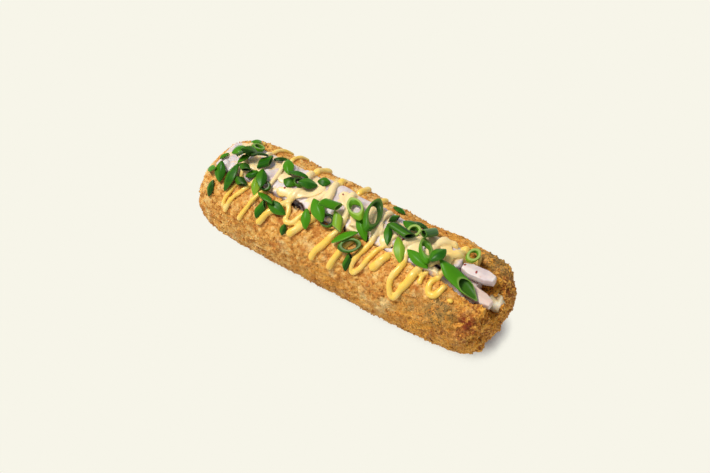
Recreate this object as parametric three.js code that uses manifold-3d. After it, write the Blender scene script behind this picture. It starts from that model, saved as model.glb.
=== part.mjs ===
// A deep-fried rice roll in a crumb crust. It is slit along its top, filled with chicken, crossed by
// a thick sauce drizzle and strewn with slices of green onion.
// Millimetres, +Z up. The roll lies along X on the plane Z = 0, centred over the origin. +X is the
// end with the deep notch, and -Y is the front.
import * as THREE from 'three';
import { mergeVertices } from 'three/addons/utils/BufferGeometryUtils.js';
import Module from 'manifold-3d';

const wasm = await Module();
wasm.setup();

// Driving dimensions of the roll
const rollLength = 194;
const rollWidth = 59.6;
const rollHeight = 54;
const pressedFlat = 0.9;
const sectionPower = 2.35;
const endPower = 6;
const nearTuck = 3.5;
const farSkew = 3;
const crustThickness = 3.6;

// Clear space between pieces side by side, and under a piece that lies on others
const gap = 0.3;
const restGap = 0.45;

// Driving dimensions of the slit and its filling
const slitHalfWidth = 12.4;
const slitNarrowing = { near: 3.2, far: 2.4 };
const slitNearShift = -2.4;
const slitNearLean = -3.5;
const slitFloorMiddle = 27;
const slitFloorNear = 31;
const slitFloorFar = 43;
const slitWallTop = 46;
const slitEnd = 110;
const stationStep = 10;
const aboveAll = 80;
const heapAboveLip = 0.9;
const heapCrown = 3;
const heapFarEnd = -90;
const heapNearEnd = 80;
const heapSink = { middle: 11.5, lean: 2 };
const chunkCount = 24;
const chunkRow = { from: -82, to: 62, across: 0.5 };
const chunkSize = { long: 15, wide: 10, high: 6 };
const chunkSunk = 1.9;

// Driving dimensions of the drizzle and the green onion
const strandFlatness = 0.62;
const strandStep = 6;
const onionWall = 1.1;
const stemSides = 11;
const leafThickness = 0.9;
const tubeFlatness = 0.62;
const scoopFlatness = 0.55;
const scoopWall = 0.7;
const scoopCore = 0.5;

const halfLength = rollLength / 2;
const halfWidth = rollWidth / 2;
const halfHeight = (rollHeight + pressedFlat) / 2;
const middleHeight = rollHeight - halfHeight;
const degree = Math.PI / 180;

const group = new THREE.Group();

// Small helpers

// A repeatable uneven number from -1 to 1 for piece number index and quality number channel.
function uneven(index, channel) {
  const wave = Math.sin(index * 12.9898 + channel * 78.233) * 43758.5453;
  return 2 * (wave - Math.floor(wave)) - 1;
}

// Goes smoothly from 0 to 1 as value goes from start to end.
function ease(value, start, end) {
  return THREE.MathUtils.smoothstep(value, start, end);
}

// A closed solid from a closed geometry: only the positions count, and shared corners are merged.
function solidOf(geometry) {
  const bare = geometry.clone();
  bare.deleteAttribute('normal');
  bare.deleteAttribute('uv');
  const merged = mergeVertices(bare, 1e-4);
  return new wasm.Manifold(new wasm.Mesh({
    numProp: 3,
    vertProperties: merged.attributes.position.array,
    triVerts: new Uint32Array(merged.index.array),
  }));
}

// The geometry of a solid, ready for a mesh.
function geometryOf(solid) {
  const mesh = solid.getMesh();
  const geometry = new THREE.BufferGeometry();
  geometry.setAttribute('position', new THREE.BufferAttribute(mesh.vertProperties, 3));
  geometry.setIndex(new THREE.BufferAttribute(mesh.triVerts, 1));
  geometry.computeVertexNormals();
  return geometry;
}

// Moves every corner of a geometry to where the given function puts it.
function reshape(geometry, place) {
  const positions = geometry.attributes.position;
  const point = new THREE.Vector3();
  for (let i = 0; i < positions.count; i += 1) {
    point.fromBufferAttribute(positions, i);
    place(point);
    positions.setXYZ(i, point.x, point.y, point.z);
  }
  return geometry;
}

function addMesh(name, geometry, colour, roughness) {
  const material = new THREE.MeshStandardMaterial({ color: colour, roughness, metalness: 0 });
  const mesh = new THREE.Mesh(geometry, material);
  mesh.name = name;
  group.add(mesh);
  return mesh;
}

// The largest body of a solid: scraps that a cut leaves loose are dropped.
function largestBody(solid) {
  return solid.decompose().reduce((best, next) => (next.volume() > best.volume() ? next : best));
}

// The roll's outer form: a rounded-square section whose angle starts at the top, with gentle lumps

// How far the crust stands out or in, worn smooth towards the pressed underside.
function lump(x, angle) {
  const worn = 0.15 + 0.85 * ease(Math.cos(angle), -0.6, 0.3);
  const long = 0.55 * Math.sin(x / 12.5 + 1.9 * Math.sin(angle) + 0.6);
  const short = 0.4 * Math.sin(x / 5.1 - 2.2 * angle);
  const round = 0.35 * Math.sin(3 * angle + x / 19 + 1.1);
  return worn * (long + short + round) * ease(Math.cos(angle), -0.99, -0.9);
}

// The section's radius at an angle, for the outer form moved in by inset.
function sectionRadius(angle, inset) {
  const across = Math.abs(Math.sin(angle)) / (halfWidth - inset);
  const upward = Math.abs(Math.cos(angle)) / (halfHeight - inset);
  return (across ** sectionPower + upward ** sectionPower) ** (-1 / sectionPower);
}

// How much of its full section the roll keeps at a place along it.
function endScale(x, inset) {
  const share = Math.min(Math.abs(x) / (halfLength - inset), 1);
  return (1 - share ** endPower) ** (1 / endPower);
}

// The near end leans in at its foot, and the far end is cut a little obliquely.
function leanEnds(point) {
  const near = ease(point.x, 0.6 * halfLength, halfLength);
  const far = ease(-point.x, 0.6 * halfLength, halfLength);
  point.x -= near * nearTuck * Math.max(1 - point.z / middleHeight, 0);
  point.x += far * farSkew * Math.max(point.y / halfWidth, 0);
}

// The whole roll, moved in by inset, from a cylinder whose rings follow the form above. The rings
// crowd towards the ends, and the flat caps start where the section has shrunk to rimScale.
function rollSolid(inset, sides, rings) {
  const rimScale = 0.5;
  const crowding = 1.35;
  const rim = (1 - rimScale ** endPower) ** (1 / endPower);
  const cylinder = new THREE.CylinderGeometry(1, 1, 2, sides, rings);
  reshape(cylinder, (point) => {
    const station = point.y;
    const onAxis = Math.hypot(point.x, point.z) < 0.5;
    const angle = Math.atan2(point.z, point.x);
    const share = onAxis ? 1 : rim * (1 - (1 - Math.abs(station)) ** crowding);
    const x = Math.sign(station) * share * (halfLength - inset);
    const radius = onAxis ? 0 : sectionRadius(angle, inset) * endScale(x, inset) + lump(x, angle);
    const z = middleHeight + radius * Math.cos(angle);
    point.set(x, radius * Math.sin(angle), Math.max(z, inset));
    leanEnds(point);
  });
  return solidOf(cylinder);
}

// The crust's height above a spot, found by turning the angle until its point is over the spot.
function crustHeight(x, y) {
  const scale = endScale(x, 0);
  const reach = (angle) => sectionRadius(angle, 0) * scale + lump(x, Math.sign(y) * angle);
  let low = 0;
  let high = Math.PI / 2;
  for (let step = 0; step < 24; step += 1) {
    const angle = (low + high) / 2;
    if (reach(angle) * Math.sin(angle) < Math.abs(y)) low = angle;
    else high = angle;
  }
  return middleHeight + reach(low) * Math.cos(low);
}

// The slit: a trough along the top that runs out through both ends

function slitFloor(x) {
  const near = slitFloorMiddle + (slitFloorNear - slitFloorMiddle) * ease(x, 60, 92);
  return near + (slitFloorFar - slitFloorMiddle) * ease(-x, 66, 92);
}

// Half the slit's width at its lips.
function slitReach(x) {
  return slitHalfWidth - slitNarrowing.near * ease(x, 76, 95) - slitNarrowing.far * ease(-x, 78, 94);
}

// The slit's middle at a height from 0 at its floor to 1 at its lips. The deep notch at the near end
// lies a little to the front, and its floor leans under the front lip.
function slitMiddle(x, height) {
  return (slitNearShift + slitNearLean * (1 - height)) * ease(x, 62, 90);
}

// How high the slit's lips stand.
function lipHeight(x) {
  return crustHeight(x, slitReach(x));
}

// Places along the roll where every trough has its corners, so that the walls of two stay parallel.
function stationsBetween(from, to) {
  const stations = [from];
  for (let x = Math.floor(from / stationStep + 1) * stationStep; x < to; x += stationStep) {
    stations.push(x);
  }
  return [...stations, to];
}

// A trough with the slit's walls, narrower by clearance, up to the height that top gives.
function troughSolid(clearance, from, to, top) {
  const stations = stationsBetween(from, to);
  const spans = stations.length - 1;
  const levels = [
    { height: 0, width: 0.28 },
    { height: 0.35, width: 0.78 },
    { height: 1, width: 1 },
  ];
  const box = new THREE.BoxGeometry(2, 2, levels.length, spans, 4, levels.length);
  reshape(box, (point) => {
    const x = stations[Math.round(spans * (point.x + 1) / 2)];
    const across = point.y;
    const level = Math.round(point.z + levels.length / 2);
    const { height, width } = levels[Math.min(level, levels.length - 1)];
    const floor = slitFloor(x) + clearance;
    const y = across * (slitReach(x) * width - clearance) + slitMiddle(x, height);
    const z = level === levels.length ? top(x, across) : floor + (slitWallTop - floor) * height;
    point.set(x, y, z);
  });
  return solidOf(box);
}

// The filling: a core with rough chunks of chicken heaped on it

// Towards the near end the heap sinks, more at the front, and makes room for two long strips.
function heapTop(x, across) {
  const crown = heapCrown * (1 - across ** 2) * (1 - ease(-x, 82, 94));
  const sink = ease(x, 60, 72) * (heapSink.middle - heapSink.lean * across);
  return lipHeight(x) + heapAboveLip + crown - sink;
}

// One rough chunk: a twenty-sided form with uneven corners. The chunks lie in two staggered rows.
function chunkSolid(index) {
  const share = index / (chunkCount - 1);
  const x = THREE.MathUtils.lerp(chunkRow.from, chunkRow.to, share) + 1.8 * uneven(index, 1);
  const across = (index % 2 ? 1 : -1) * chunkRow.across + 0.25 * uneven(index, 2);
  const rock = new THREE.IcosahedronGeometry(0.5, 0);
  const merged = mergeVertices(new THREE.BufferGeometry()
    .setAttribute('position', rock.attributes.position), 1e-4);
  const positions = merged.attributes.position;
  for (let i = 0; i < positions.count; i += 1) {
    const swell = 1.12 + 0.16 * uneven(index + 7 * i, 3);
    positions.setXYZ(i, swell * positions.getX(i), swell * positions.getY(i), swell * positions.getZ(i));
  }
  const size = 1 + 0.25 * uneven(index, 4);
  merged.scale(chunkSize.long * size, chunkSize.wide * size, chunkSize.high);
  const turn = new THREE.Euler(18 * uneven(index, 5) * degree, 12 * uneven(index, 6) * degree,
    50 * uneven(index, 7) * degree, 'ZYX');
  merged.applyMatrix4(new THREE.Matrix4().makeRotationFromEuler(turn));
  const sunk = chunkSunk + 0.7 * uneven(index, 8);
  merged.translate(x, across * slitReach(x), heapTop(x, across) - sunk);
  return solidOf(merged);
}

// The highest surface over each spot of a fine grid, for laying one piece on those below it
const cell = 0.2;
const columns = Math.ceil((rollLength + 20) / cell);
const rows = Math.ceil((rollWidth + 20) / cell);
const heights = new Float32Array(columns * rows);

// Calls visit with the grid index and the height for every cell under each triangle.
function scanTriangles(geometry, visit) {
  const positions = geometry.attributes.position;
  const index = geometry.index;
  const [a, b, c] = [new THREE.Vector3(), new THREE.Vector3(), new THREE.Vector3()];
  const count = index ? index.count : positions.count;
  for (let i = 0; i < count; i += 3) {
    a.fromBufferAttribute(positions, index ? index.getX(i) : i);
    b.fromBufferAttribute(positions, index ? index.getX(i + 1) : i + 1);
    c.fromBufferAttribute(positions, index ? index.getX(i + 2) : i + 2);
    const area = (b.x - a.x) * (c.y - a.y) - (c.x - a.x) * (b.y - a.y);
    if (Math.abs(area) < 1e-9) continue;
    const firstColumn = Math.ceil(Math.min(a.x, b.x, c.x) / cell + columns / 2);
    const lastColumn = Math.floor(Math.max(a.x, b.x, c.x) / cell + columns / 2);
    const firstRow = Math.ceil(Math.min(a.y, b.y, c.y) / cell + rows / 2);
    const lastRow = Math.floor(Math.max(a.y, b.y, c.y) / cell + rows / 2);
    for (let column = firstColumn; column <= lastColumn; column += 1) {
      for (let row = firstRow; row <= lastRow; row += 1) {
        const x = (column - columns / 2) * cell;
        const y = (row - rows / 2) * cell;
        const second = ((x - a.x) * (c.y - a.y) - (c.x - a.x) * (y - a.y)) / area;
        const third = ((b.x - a.x) * (y - a.y) - (x - a.x) * (b.y - a.y)) / area;
        const inside = second >= 0 && third >= 0 && second + third <= 1;
        if (inside) visit(column * rows + row, a.z + second * (b.z - a.z) + third * (c.z - a.z));
      }
    }
  }
}

function coverWith(geometry) {
  scanTriangles(geometry, (spot, height) => {
    heights[spot] = Math.max(heights[spot], height);
  });
}

// How far a geometry has to rise so that it just clears everything below it.
function riseToClear(geometry) {
  let rise = -Infinity;
  scanTriangles(geometry, (spot, height) => {
    rise = Math.max(rise, heights[spot] - height);
  });
  return rise;
}

// The height of the top surface at a spot, evened out over the cells around it but for crevices.
function smoothTop(x, y) {
  const column = Math.round(x / cell + columns / 2);
  const row = Math.round(y / cell + rows / 2);
  const reach = 5;
  const crevice = 5;
  const around = [];
  for (let i = -reach; i <= reach; i += 1) {
    for (let j = -reach; j <= reach; j += 1) around.push(heights[(column + i) * rows + row + j]);
  }
  const highest = Math.max(...around);
  const counted = around.filter((height) => height > highest - crevice);
  return counted.reduce((sum, height) => sum + height, 0) / counted.length;
}

// The drizzle: strands laid across the roll, each a capsule bent along its route

// The surface that a strand or slice lies on: chicken inside the slit, crust outside it.
function layHeight(x, y) {
  return Math.abs(y) > slitHalfWidth ? crustHeight(x, y) : smoothTop(x, y);
}

// The direction straight out of the roll's round at a spot.
function outward(y) {
  const share = Math.min(Math.abs(y) / halfWidth, 0.995);
  const side = share ** (sectionPower - 1) / halfWidth;
  const up = (1 - share ** sectionPower) ** ((sectionPower - 1) / sectionPower) / halfHeight;
  return new THREE.Vector3(0, Math.sign(y) * side, up).normalize();
}

function strandSolid(route, width) {
  const flat = new THREE.CatmullRomCurve3(route.map(([x, y]) => new THREE.Vector3(x, y, 0)));
  const steps = Math.max(2, Math.round(flat.getLength() / strandStep));
  const laid = flat.getSpacedPoints(steps);
  laid.forEach((point) => point.setZ(layHeight(point.x, point.y)));
  const spine = new THREE.CatmullRomCurve3(laid);
  const radius = width / 2;
  const length = Math.max(spine.getLength() - width, 0.1);
  const capsule = new THREE.CapsuleGeometry(radius, length, 1, 5, steps);
  const along = new THREE.Vector3();
  const side = new THREE.Vector3();
  return solidOf(reshape(capsule, (point) => {
    const share = THREE.MathUtils.clamp(point.y / (length + width) + 0.5, 0, 1);
    const out = outward(spine.getPointAt(share).y);
    side.crossVectors(spine.getTangentAt(share, along), out).normalize();
    const offset = { side: point.x, out: strandFlatness * point.z };
    point.copy(spine.getPointAt(share));
    point.addScaledVector(side, offset.side).addScaledVector(out, offset.out);
  }));
}

// Each strand's width and its route, as places along and across the roll
const drizzle = [
  [2.6, [[-72, -29], [-74, -25], [-72, -20], [-70, -15], [-72, -6], [-77, 2], [-78, 11], [-75, 20]]],
  [2.8, [[-72, -28], [-69, -23], [-65, -18], [-62, -12], [-62, -2], [-66, 9], [-65, 18], [-60, 26]]],
  [2.8, [[-62, -29], [-59, -26], [-56, -20], [-52, -10], [-52, 2], [-54, 12], [-53, 20], [-49, 26]]],
  [4.8, [[-49, -28], [-47, -25], [-43, -20], [-37, -12], [-35, -2], [-37, 8], [-37, 17], [-34, 26]]],
  [3.4, [[-37, -13], [-34, -17], [-33, -22], [-30, -22], [-26, -16], [-22, -8], [-20, 3]]],
  [5.2, [[-29, -27], [-25, -22], [-20, -15], [-17, -4], [-20, 8], [-21, 20]]],
  [4.8, [[-12, -29], [-10, -26], [-6, -21], [-2, -12], [-4, -2], [-8, 8], [-7, 17], [-7, 25]]],
  [4.4, [[0, -29], [3, -25], [6, -19], [10, -10], [8, 2], [6, 13], [7, 22]]],
  [3.6, [[17, 13], [16, 4], [18, -6], [18, -15], [15, -21], [14, -26], [18, -26]]],
  [3.6, [[15, -27], [19, -25], [22, -19], [26, -10], [30, 0]]],
  [5.6, [[24, -24], [28, -20], [32, -12], [37, -3], [43, 5]]],
  [3.8, [[38, -6], [41, -14], [40, -20], [39, -25], [43, -28], [46, -25], [48, -19]]],
  [5.4, [[45, -26], [48, -21], [50, -12], [50, -2], [52, 7], [54, 15]]],
  [3.2, [[55, -21], [54, -16], [56, -8], [60, -1]]],
  [3.8, [[66, 14], [62, 5], [62, -5], [62, -12], [60, -17], [62, -21], [66, -20], [68, -15], [69, -8]]],
  [4, [[74, -17], [75, -21]]],
];

// Green onion: oblique slices of a hollow stem

// A slit and flattened slice: a thin almond, arched across and bent along its length.
function leafGeometry(long, wide) {
  const sheet = new THREE.BoxGeometry(2, 2, leafThickness, 5, 2, 1);
  return reshape(sheet, (point) => {
    const [along, across] = [point.x, point.y];
    const outline = 0.08 + 0.92 * (1 - Math.abs(along) ** 1.7) ** 0.85;
    const arch = 0.2 * wide * (1 - across ** 2) * outline;
    const bend = 0.05 * long * along ** 2;
    point.set(along * long / 2, across * outline * wide / 2, point.z + arch - bend);
  });
}

// A stretch of stem between two parallel cuts, standing on one of them before it is sheared.
function stemGeometry(wide, high, wallThickness = onionWall) {
  const outer = wide / 2;
  const inner = outer - wallThickness;
  const wall = [[inner, 0], [outer, 0], [outer, high], [inner, high], [inner, 0]];
  const profile = wall.map(([radius, height]) => new THREE.Vector2(radius, height));
  return new THREE.LatheGeometry(profile, stemSides).rotateX(Math.PI / 2);
}

// A ring lies on its cut face: its oval opening is longer than the stem is wide.
function ringGeometry(long, wide) {
  const high = 1.6 + 0.06 * long;
  const lean = 0.45 * Math.sqrt((long / wide) ** 2 - 1);
  return reshape(stemGeometry(wide, high), (point) => {
    point.x = point.x * long / wide + lean * point.z;
  });
}

// A tube lies on its side, a little flattened, with both ends cut at a slant.
function tubeGeometry(long, wide) {
  const slant = 0.7;
  const core = long - slant * wide;
  return reshape(stemGeometry(wide, core), (point) => {
    point.set(point.z - core / 2 + slant * point.y, point.y, -tubeFlatness * point.x);
  });
}

// A scoop lies on its side too, cut so steeply that one end shows the skin and the other the hollow.
function scoopGeometry(long, wide) {
  const core = scoopCore * long;
  const slant = (long - core) / (scoopFlatness * wide);
  return reshape(stemGeometry(wide, core, scoopWall), (point) => {
    const height = -scoopFlatness * point.x;
    point.set(point.z - core / 2 + slant * height, point.y, height);
  });
}

const sliceForms = { leaf: leafGeometry, ring: ringGeometry, tube: tubeGeometry, scoop: scoopGeometry };

// Each slice's form, its place along and across the roll, its turn from X in degrees, its length
// and its width
const slices = [
  ['leaf', -89.3, -15.1, 343, 10.3, 4.5],
  ['leaf', -82.9, -15.2, 116, 12.2, 7],
  ['leaf', -85.3, -22.1, 97, 10, 5],
  ['leaf', -75, -16, 90, 17.6, 9],
  ['tube', -69.1, -9.9, 144, 8.4, 5.5],
  ['tube', -67.9, -16.2, 148, 9.7, 5.5],
  ['leaf', -64.1, -10, 39, 8.3, 4.5],
  ['leaf', -73.1, -4.5, 92, 14.1, 4],
  ['leaf', -86.1, -6.2, 85, 8, 3],
  ['leaf', -82, 1.8, 50, 8.7, 8],
  ['leaf', -73.8, -3.2, 78, 13.3, 6],
  ['leaf', -71.1, -1.2, 65, 14.7, 6],
  ['ring', -73.6, 8.7, 36, 7.6, 7],
  ['leaf', -78, 13.8, 79, 9.3, 5],
  ['leaf', -65.5, -0.1, 40, 10, 5],
  ['tube', -61.8, -0.2, 49, 11.7, 7],
  ['leaf', -56.4, 8.2, 36, 8.8, 4],
  ['leaf', -56.5, -11.3, 119, 13, 6.5],
  ['leaf', -58.6, -14, 113, 12.6, 5.5],
  ['ring', -52.8, -12.4, 193, 6.6, 6],
  ['leaf', -48.8, -18.8, 162, 13.6, 5.5],
  ['leaf', -41, -19.9, 172, 13.6, 7],
  ['tube', -49.4, -23.5, 59, 11.5, 5],
  ['leaf', -49.4, 5.1, 129, 11.4, 6.5],
  ['leaf', -40.4, 2.1, 10, 12.1, 7],
  ['leaf', -42.5, -3.4, 186, 8.2, 8],
  ['ring', -36.8, -2.4, 183, 6.6, 6],
  ['leaf', -31.8, -0.9, 39, 11.4, 7.5],
  ['leaf', -26, 6.7, 22, 7.5, 6],
  ['leaf', -22, -17.9, 118, 11.8, 6],
  ['leaf', -17.2, -12.7, 143, 15.3, 8],
  ['tube', -10.5, -10, 25, 14.6, 7],
  ['ring', -9.7, -13.1, 185, 9.3, 8],
  ['tube', -3.7, -13.1, 116, 12.8, 5.5],
  ['leaf', 3.8, -17.9, 36, 16.7, 8],
  ['ring', 8.6, -20.5, 30, 13.6, 8],
  ['ring', 2.8, -3.5, 139, 18.4, 9],
  ['leaf', 10.1, -9.5, 141, 16.2, 6],
  ['ring', 12, -3.3, 106, 21.7, 10],
  ['tube', 11, -25.6, 74, 11, 4.5],
  ['leaf', -32, -26, 97, 7, 4],
  ['leaf', 18, 17.1, 355, 8.1, 5.5],
  ['tube', 21.6, 6, 38, 7.6, 5],
  ['leaf', 24.7, -5.1, 119, 13.8, 5],
  ['tube', 31.3, -2.1, 170, 17.2, 6],
  ['leaf', 32, 7, 169, 12, 6.5],
  ['leaf', 35.1, 11.7, 354, 12.4, 6],
  ['tube', 45, 5.9, 81, 18, 7],
  ['leaf', 35.4, -10.4, 127, 15.5, 6.5],
  ['leaf', 47.4, -10.7, 165, 16.6, 6.5],
  ['ring', 50.2, -7.2, 129, 16.9, 8],
  ['leaf', 58.2, -6.7, 74, 11.8, 8.5],
  ['scoop', 73.4, -9.7, 171, 31.8, 10],
  ['ring', 71, 9.1, 74, 9.3, 7],
  ['ring', 36, 3, 50, 8.4, 7],
];

// Assembly, from the inside out

const slit = troughSolid(0, -slitEnd, slitEnd, () => aboveAll);
const crustOuter = rollSolid(0, 34, 30);
const crustInner = rollSolid(crustThickness, 16, 8);
const riceWhole = rollSolid(crustThickness + gap, 16, 8);
let crust = crustOuter.subtract(crustInner).subtract(slit);
const rice = riceWhole.subtract(slit);

let filling = troughSolid(gap, heapFarEnd, heapNearEnd, heapTop);
const fillingSpace = troughSolid(gap + 0.1, heapFarEnd, heapNearEnd, () => aboveAll);
for (let index = 0; index < chunkCount; index += 1) {
  filling = filling.add(chunkSolid(index).intersect(fillingSpace));
}

coverWith(geometryOf(crust));
coverWith(geometryOf(filling));
for (const [width, route] of drizzle) {
  const strand = strandSolid(route, width);
  crust = crust.add(strand.subtract(slit));
  filling = filling.add(strand.intersect(fillingSpace));
}
crust = largestBody(crust);
filling = largestBody(filling);
coverWith(geometryOf(crust));
coverWith(geometryOf(filling));

addMesh('crust', geometryOf(crust), 0xc08a3e, 0.85);
addMesh('rice', geometryOf(rice), 0xe9e2cf, 0.6);
addMesh('chicken_filling', geometryOf(filling), 0xe3cfc4, 0.5);

// A strip of chicken with six-sided, tapered ends
function stripGeometry(long, wide, high) {
  const block = new THREE.BoxGeometry(2, 2, 2, 4, 2, 2);
  return reshape(block, (point) => {
    const taper = Math.abs(point.x) > 0.9 ? 0.55 : 1;
    const bulge = 1 - 0.18 * Math.abs(point.y * point.z);
    point.set(point.x * long / 2, point.y * taper * bulge * wide / 2, point.z * bulge * high / 2);
  });
}

// The direction straight out of what lies under a spot: that of the plane through the heights a
// little way off along a piece's length and its width.
function restingNormal(place) {
  const steepest = 1.3;
  const along = new THREE.Vector3(Math.cos(place.turn * degree), Math.sin(place.turn * degree), 0);
  const across = new THREE.Vector3(-along.y, along.x, 0);
  const slope = (direction, reach) => {
    const ahead = smoothTop(place.x + direction.x * reach, place.y + direction.y * reach);
    const behind = smoothTop(place.x - direction.x * reach, place.y - direction.y * reach);
    return THREE.MathUtils.clamp((ahead - behind) / (2 * reach), -steepest, steepest);
  };
  along.z = place.rise ?? slope(along, 0.35 * place.long);
  across.z = place.bank ?? slope(across, 0.4 * place.wide);
  const normal = new THREE.Vector3().crossVectors(along, across).normalize();
  return { along: along.normalize(), normal };
}

// Turns a piece to its place, lowers it until it rests, and counts it among what lies below.
function layDown(name, geometry, place, colour, roughness) {
  const mesh = addMesh(name, geometry, colour, roughness);
  const { along, normal } = restingNormal(place);
  const across = new THREE.Vector3().crossVectors(normal, along);
  mesh.quaternion.setFromRotationMatrix(new THREE.Matrix4().makeBasis(along, across, normal));
  mesh.position.set(place.x, place.y, 0);
  mesh.updateMatrixWorld();
  mesh.position.z = riseToClear(geometry.clone().applyMatrix4(mesh.matrixWorld)) + restGap;
  mesh.updateMatrixWorld();
  coverWith(geometry.clone().applyMatrix4(mesh.matrixWorld));
}

const strips = [
  { x: 79, y: 3.2, turn: 4, rise: 0, bank: 0.1, long: 20, wide: 8.4, high: 6 },
  { x: 83, y: -7, turn: -5, rise: -0.1, bank: 0.15, long: 22, wide: 8.6, high: 5.2 },
];
strips.forEach((strip, index) => {
  const geometry = stripGeometry(strip.long, strip.wide, strip.high);
  layDown(`chicken_strip_${index + 1}`, geometry, strip, 0xe6d2cb, 0.45);
});

// The slices at the sides lie lowest, so they are laid first.
const named = slices.map(([form, x, y, turn, long, wide], index) => {
  const name = `scallion_${String(index + 1).padStart(2, '0')}`;
  return { name, form, x, y, turn, long, wide };
});
named.sort((one, other) => Math.abs(other.y) - Math.abs(one.y));
for (const slice of named) {
  layDown(slice.name, sliceForms[slice.form](slice.long, slice.wide), slice, 0x3f8a2a, 0.45);
}

export default group;
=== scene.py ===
# %% [markdown]
# # A fried rice roll with chicken, thick sauce and green onion
# The roll is a cylinder of rice in a crumb crust, slit along its top and filled with chicken. Thick
# sauce runs over it in zig-zags, and slices of green onion lie on top. The shapes come from the
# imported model's own formulas, in millimetres, and are made fine enough here for crumbs and soft
# edges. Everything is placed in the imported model's frame: the roll lies along X, and Z is up.

# %% Frame and units
import math

import bmesh
import bpy
import numpy as np
from mathutils import Matrix, Vector
from mathutils.bvhtree import BVHTree


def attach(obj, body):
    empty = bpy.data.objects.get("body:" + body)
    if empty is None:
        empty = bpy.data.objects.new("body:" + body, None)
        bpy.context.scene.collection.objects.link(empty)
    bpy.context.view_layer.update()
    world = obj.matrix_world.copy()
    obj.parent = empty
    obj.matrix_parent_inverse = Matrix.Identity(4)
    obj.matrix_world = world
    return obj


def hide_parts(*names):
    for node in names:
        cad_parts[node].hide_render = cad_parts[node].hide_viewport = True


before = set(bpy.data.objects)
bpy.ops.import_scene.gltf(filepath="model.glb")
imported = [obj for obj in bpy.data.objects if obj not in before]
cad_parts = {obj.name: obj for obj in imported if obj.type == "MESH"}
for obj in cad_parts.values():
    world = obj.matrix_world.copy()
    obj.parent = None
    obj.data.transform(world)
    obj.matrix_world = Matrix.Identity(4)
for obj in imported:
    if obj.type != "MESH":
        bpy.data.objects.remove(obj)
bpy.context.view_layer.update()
print("the packed model has", len(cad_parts), "nodes")

# Blender counts in metres, and every size below is in millimetres
MM = 0.001

# %% [markdown]
# ## Helpers for nodes, materials and meshes
# Blender's materials and Geometry Nodes are both trees of nodes. One small function that adds a
# node, sets it and links it keeps a tree as short to read as a formula. Colours are picked as sRGB
# hex values, as they look on a screen, while shaders count in linear light, so one function turns
# the first into the second.

# %% Adding nodes and picking colours
def add(tree, kind, feeds=None, **settings):
    """Adds a node. An input, by name or number, takes a value, a socket or another node's output."""
    node = tree.nodes.new(kind)
    for name, value in settings.items():
        setattr(node, name, value)
    for key, value in (feeds or {}).items():
        by_number = isinstance(key, int)
        socket = node.inputs[key] if by_number else in_use(node.inputs, key)
        if isinstance(value, bpy.types.Node):
            value = in_use(value.outputs)
        if isinstance(value, bpy.types.NodeSocket):
            tree.links.new(value, socket)
        else:
            socket.default_value = value
    return node


def in_use(sockets, name=None):
    """The first socket that the node's settings leave in use, of that name if one is given."""
    return next(s for s in sockets if s.enabled and name in (None, s.name))


def linear(hex_colour):
    """The linear colour, with alpha, of an sRGB hex colour."""
    shares = [int(hex_colour[i:i + 2], 16) / 255 for i in (1, 3, 5)]
    return (*[s / 12.92 if s <= 0.04045 else ((s + 0.055) / 1.055) ** 2.4 for s in shares], 1)


def per(millimetres):
    """The scale of a texture in object coordinates whose pattern is that many millimetres across."""
    return 1 / (millimetres * MM)


print("a pattern 2 mm across has the scale", per(2), "and white is", linear("#FFFFFF"))

# %% A new material and its patches of colour
def new_material(name):
    """A material, its node tree, its shader and its object coordinates."""
    material = bpy.data.materials.new(name)
    material.use_nodes = True
    tree = material.node_tree
    place = add(tree, "ShaderNodeTexCoord").outputs["Object"]
    return material, tree, tree.nodes["Principled BSDF"], place


def patches(tree, place, across, start, end, **texture):
    """Soft-edged patches so many mm across: 1 where a noise is over end, 0 where it is under start."""
    feeds = {"Vector": place, "Scale": per(across), **texture}
    noise = add(tree, "ShaderNodeTexNoise", feeds)
    feeds = {"Value": noise, "From Min": start, "From Max": end}
    return add(tree, "ShaderNodeMapRange", feeds, interpolation_type="SMOOTHSTEP")


def paint(tree, shader, ground, coats):
    """Lays coats over a ground colour, for the shader. A coat is its colour and where it covers:
    a node, or the name of a value that the mesh carries."""
    colour = linear(ground) if isinstance(ground, str) else ground
    for top, cover in coats:
        if isinstance(cover, str):
            cover = add(tree, "ShaderNodeAttribute", attribute_name=cover).outputs["Fac"]
        colour = add(tree, "ShaderNodeMix", {"Factor": cover, "A": colour, "B": linear(top)},
                     data_type="RGBA")
    tree.links.new(in_use(colour.outputs), shader.inputs["Base Color"])


def within(tree, name, cover):
    """A cover only where the mesh carries the named value."""
    value = add(tree, "ShaderNodeAttribute", attribute_name=name)
    return add(tree, "ShaderNodeMath", {0: value.outputs["Fac"], 1: cover}, operation="MULTIPLY")


print("a crumb's mid brown is, in linear light,", [round(v, 3) for v in linear("#C88638")[:3]])

# %% The relief and the gloss of a material
def roughen(tree, shader, place, across, height, strength, **texture):
    """Gives the shader a fine relief: bumps so many mm across and so many mm high."""
    noise = add(tree, "ShaderNodeTexNoise", {"Vector": place, "Scale": per(across), **texture})
    bump = add(tree, "ShaderNodeBump", {"Height": noise, "Strength": strength, "Distance": height * MM})
    tree.links.new(bump.outputs["Normal"], shader.inputs["Normal"])


def finish_of(shader, **values):
    """Sets the shader's own values, such as Roughness. Words of a name are joined by low lines."""
    for name, value in values.items():
        shader.inputs[name.replace("_", " ")].default_value = value


print("a bump 0.2 mm high is", 0.2 * MM, "m high in the shader")

# %% [markdown]
# ## Helpers for meshes
# Food is made here as a maker of models would make it: simple closed forms are drawn from formulas,
# joined or cut with Booleans, and then remeshed and smoothed so that every edge is soft. The mesh
# carries numbers for its points, such as how toasted each one is, and the materials read them.

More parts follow.
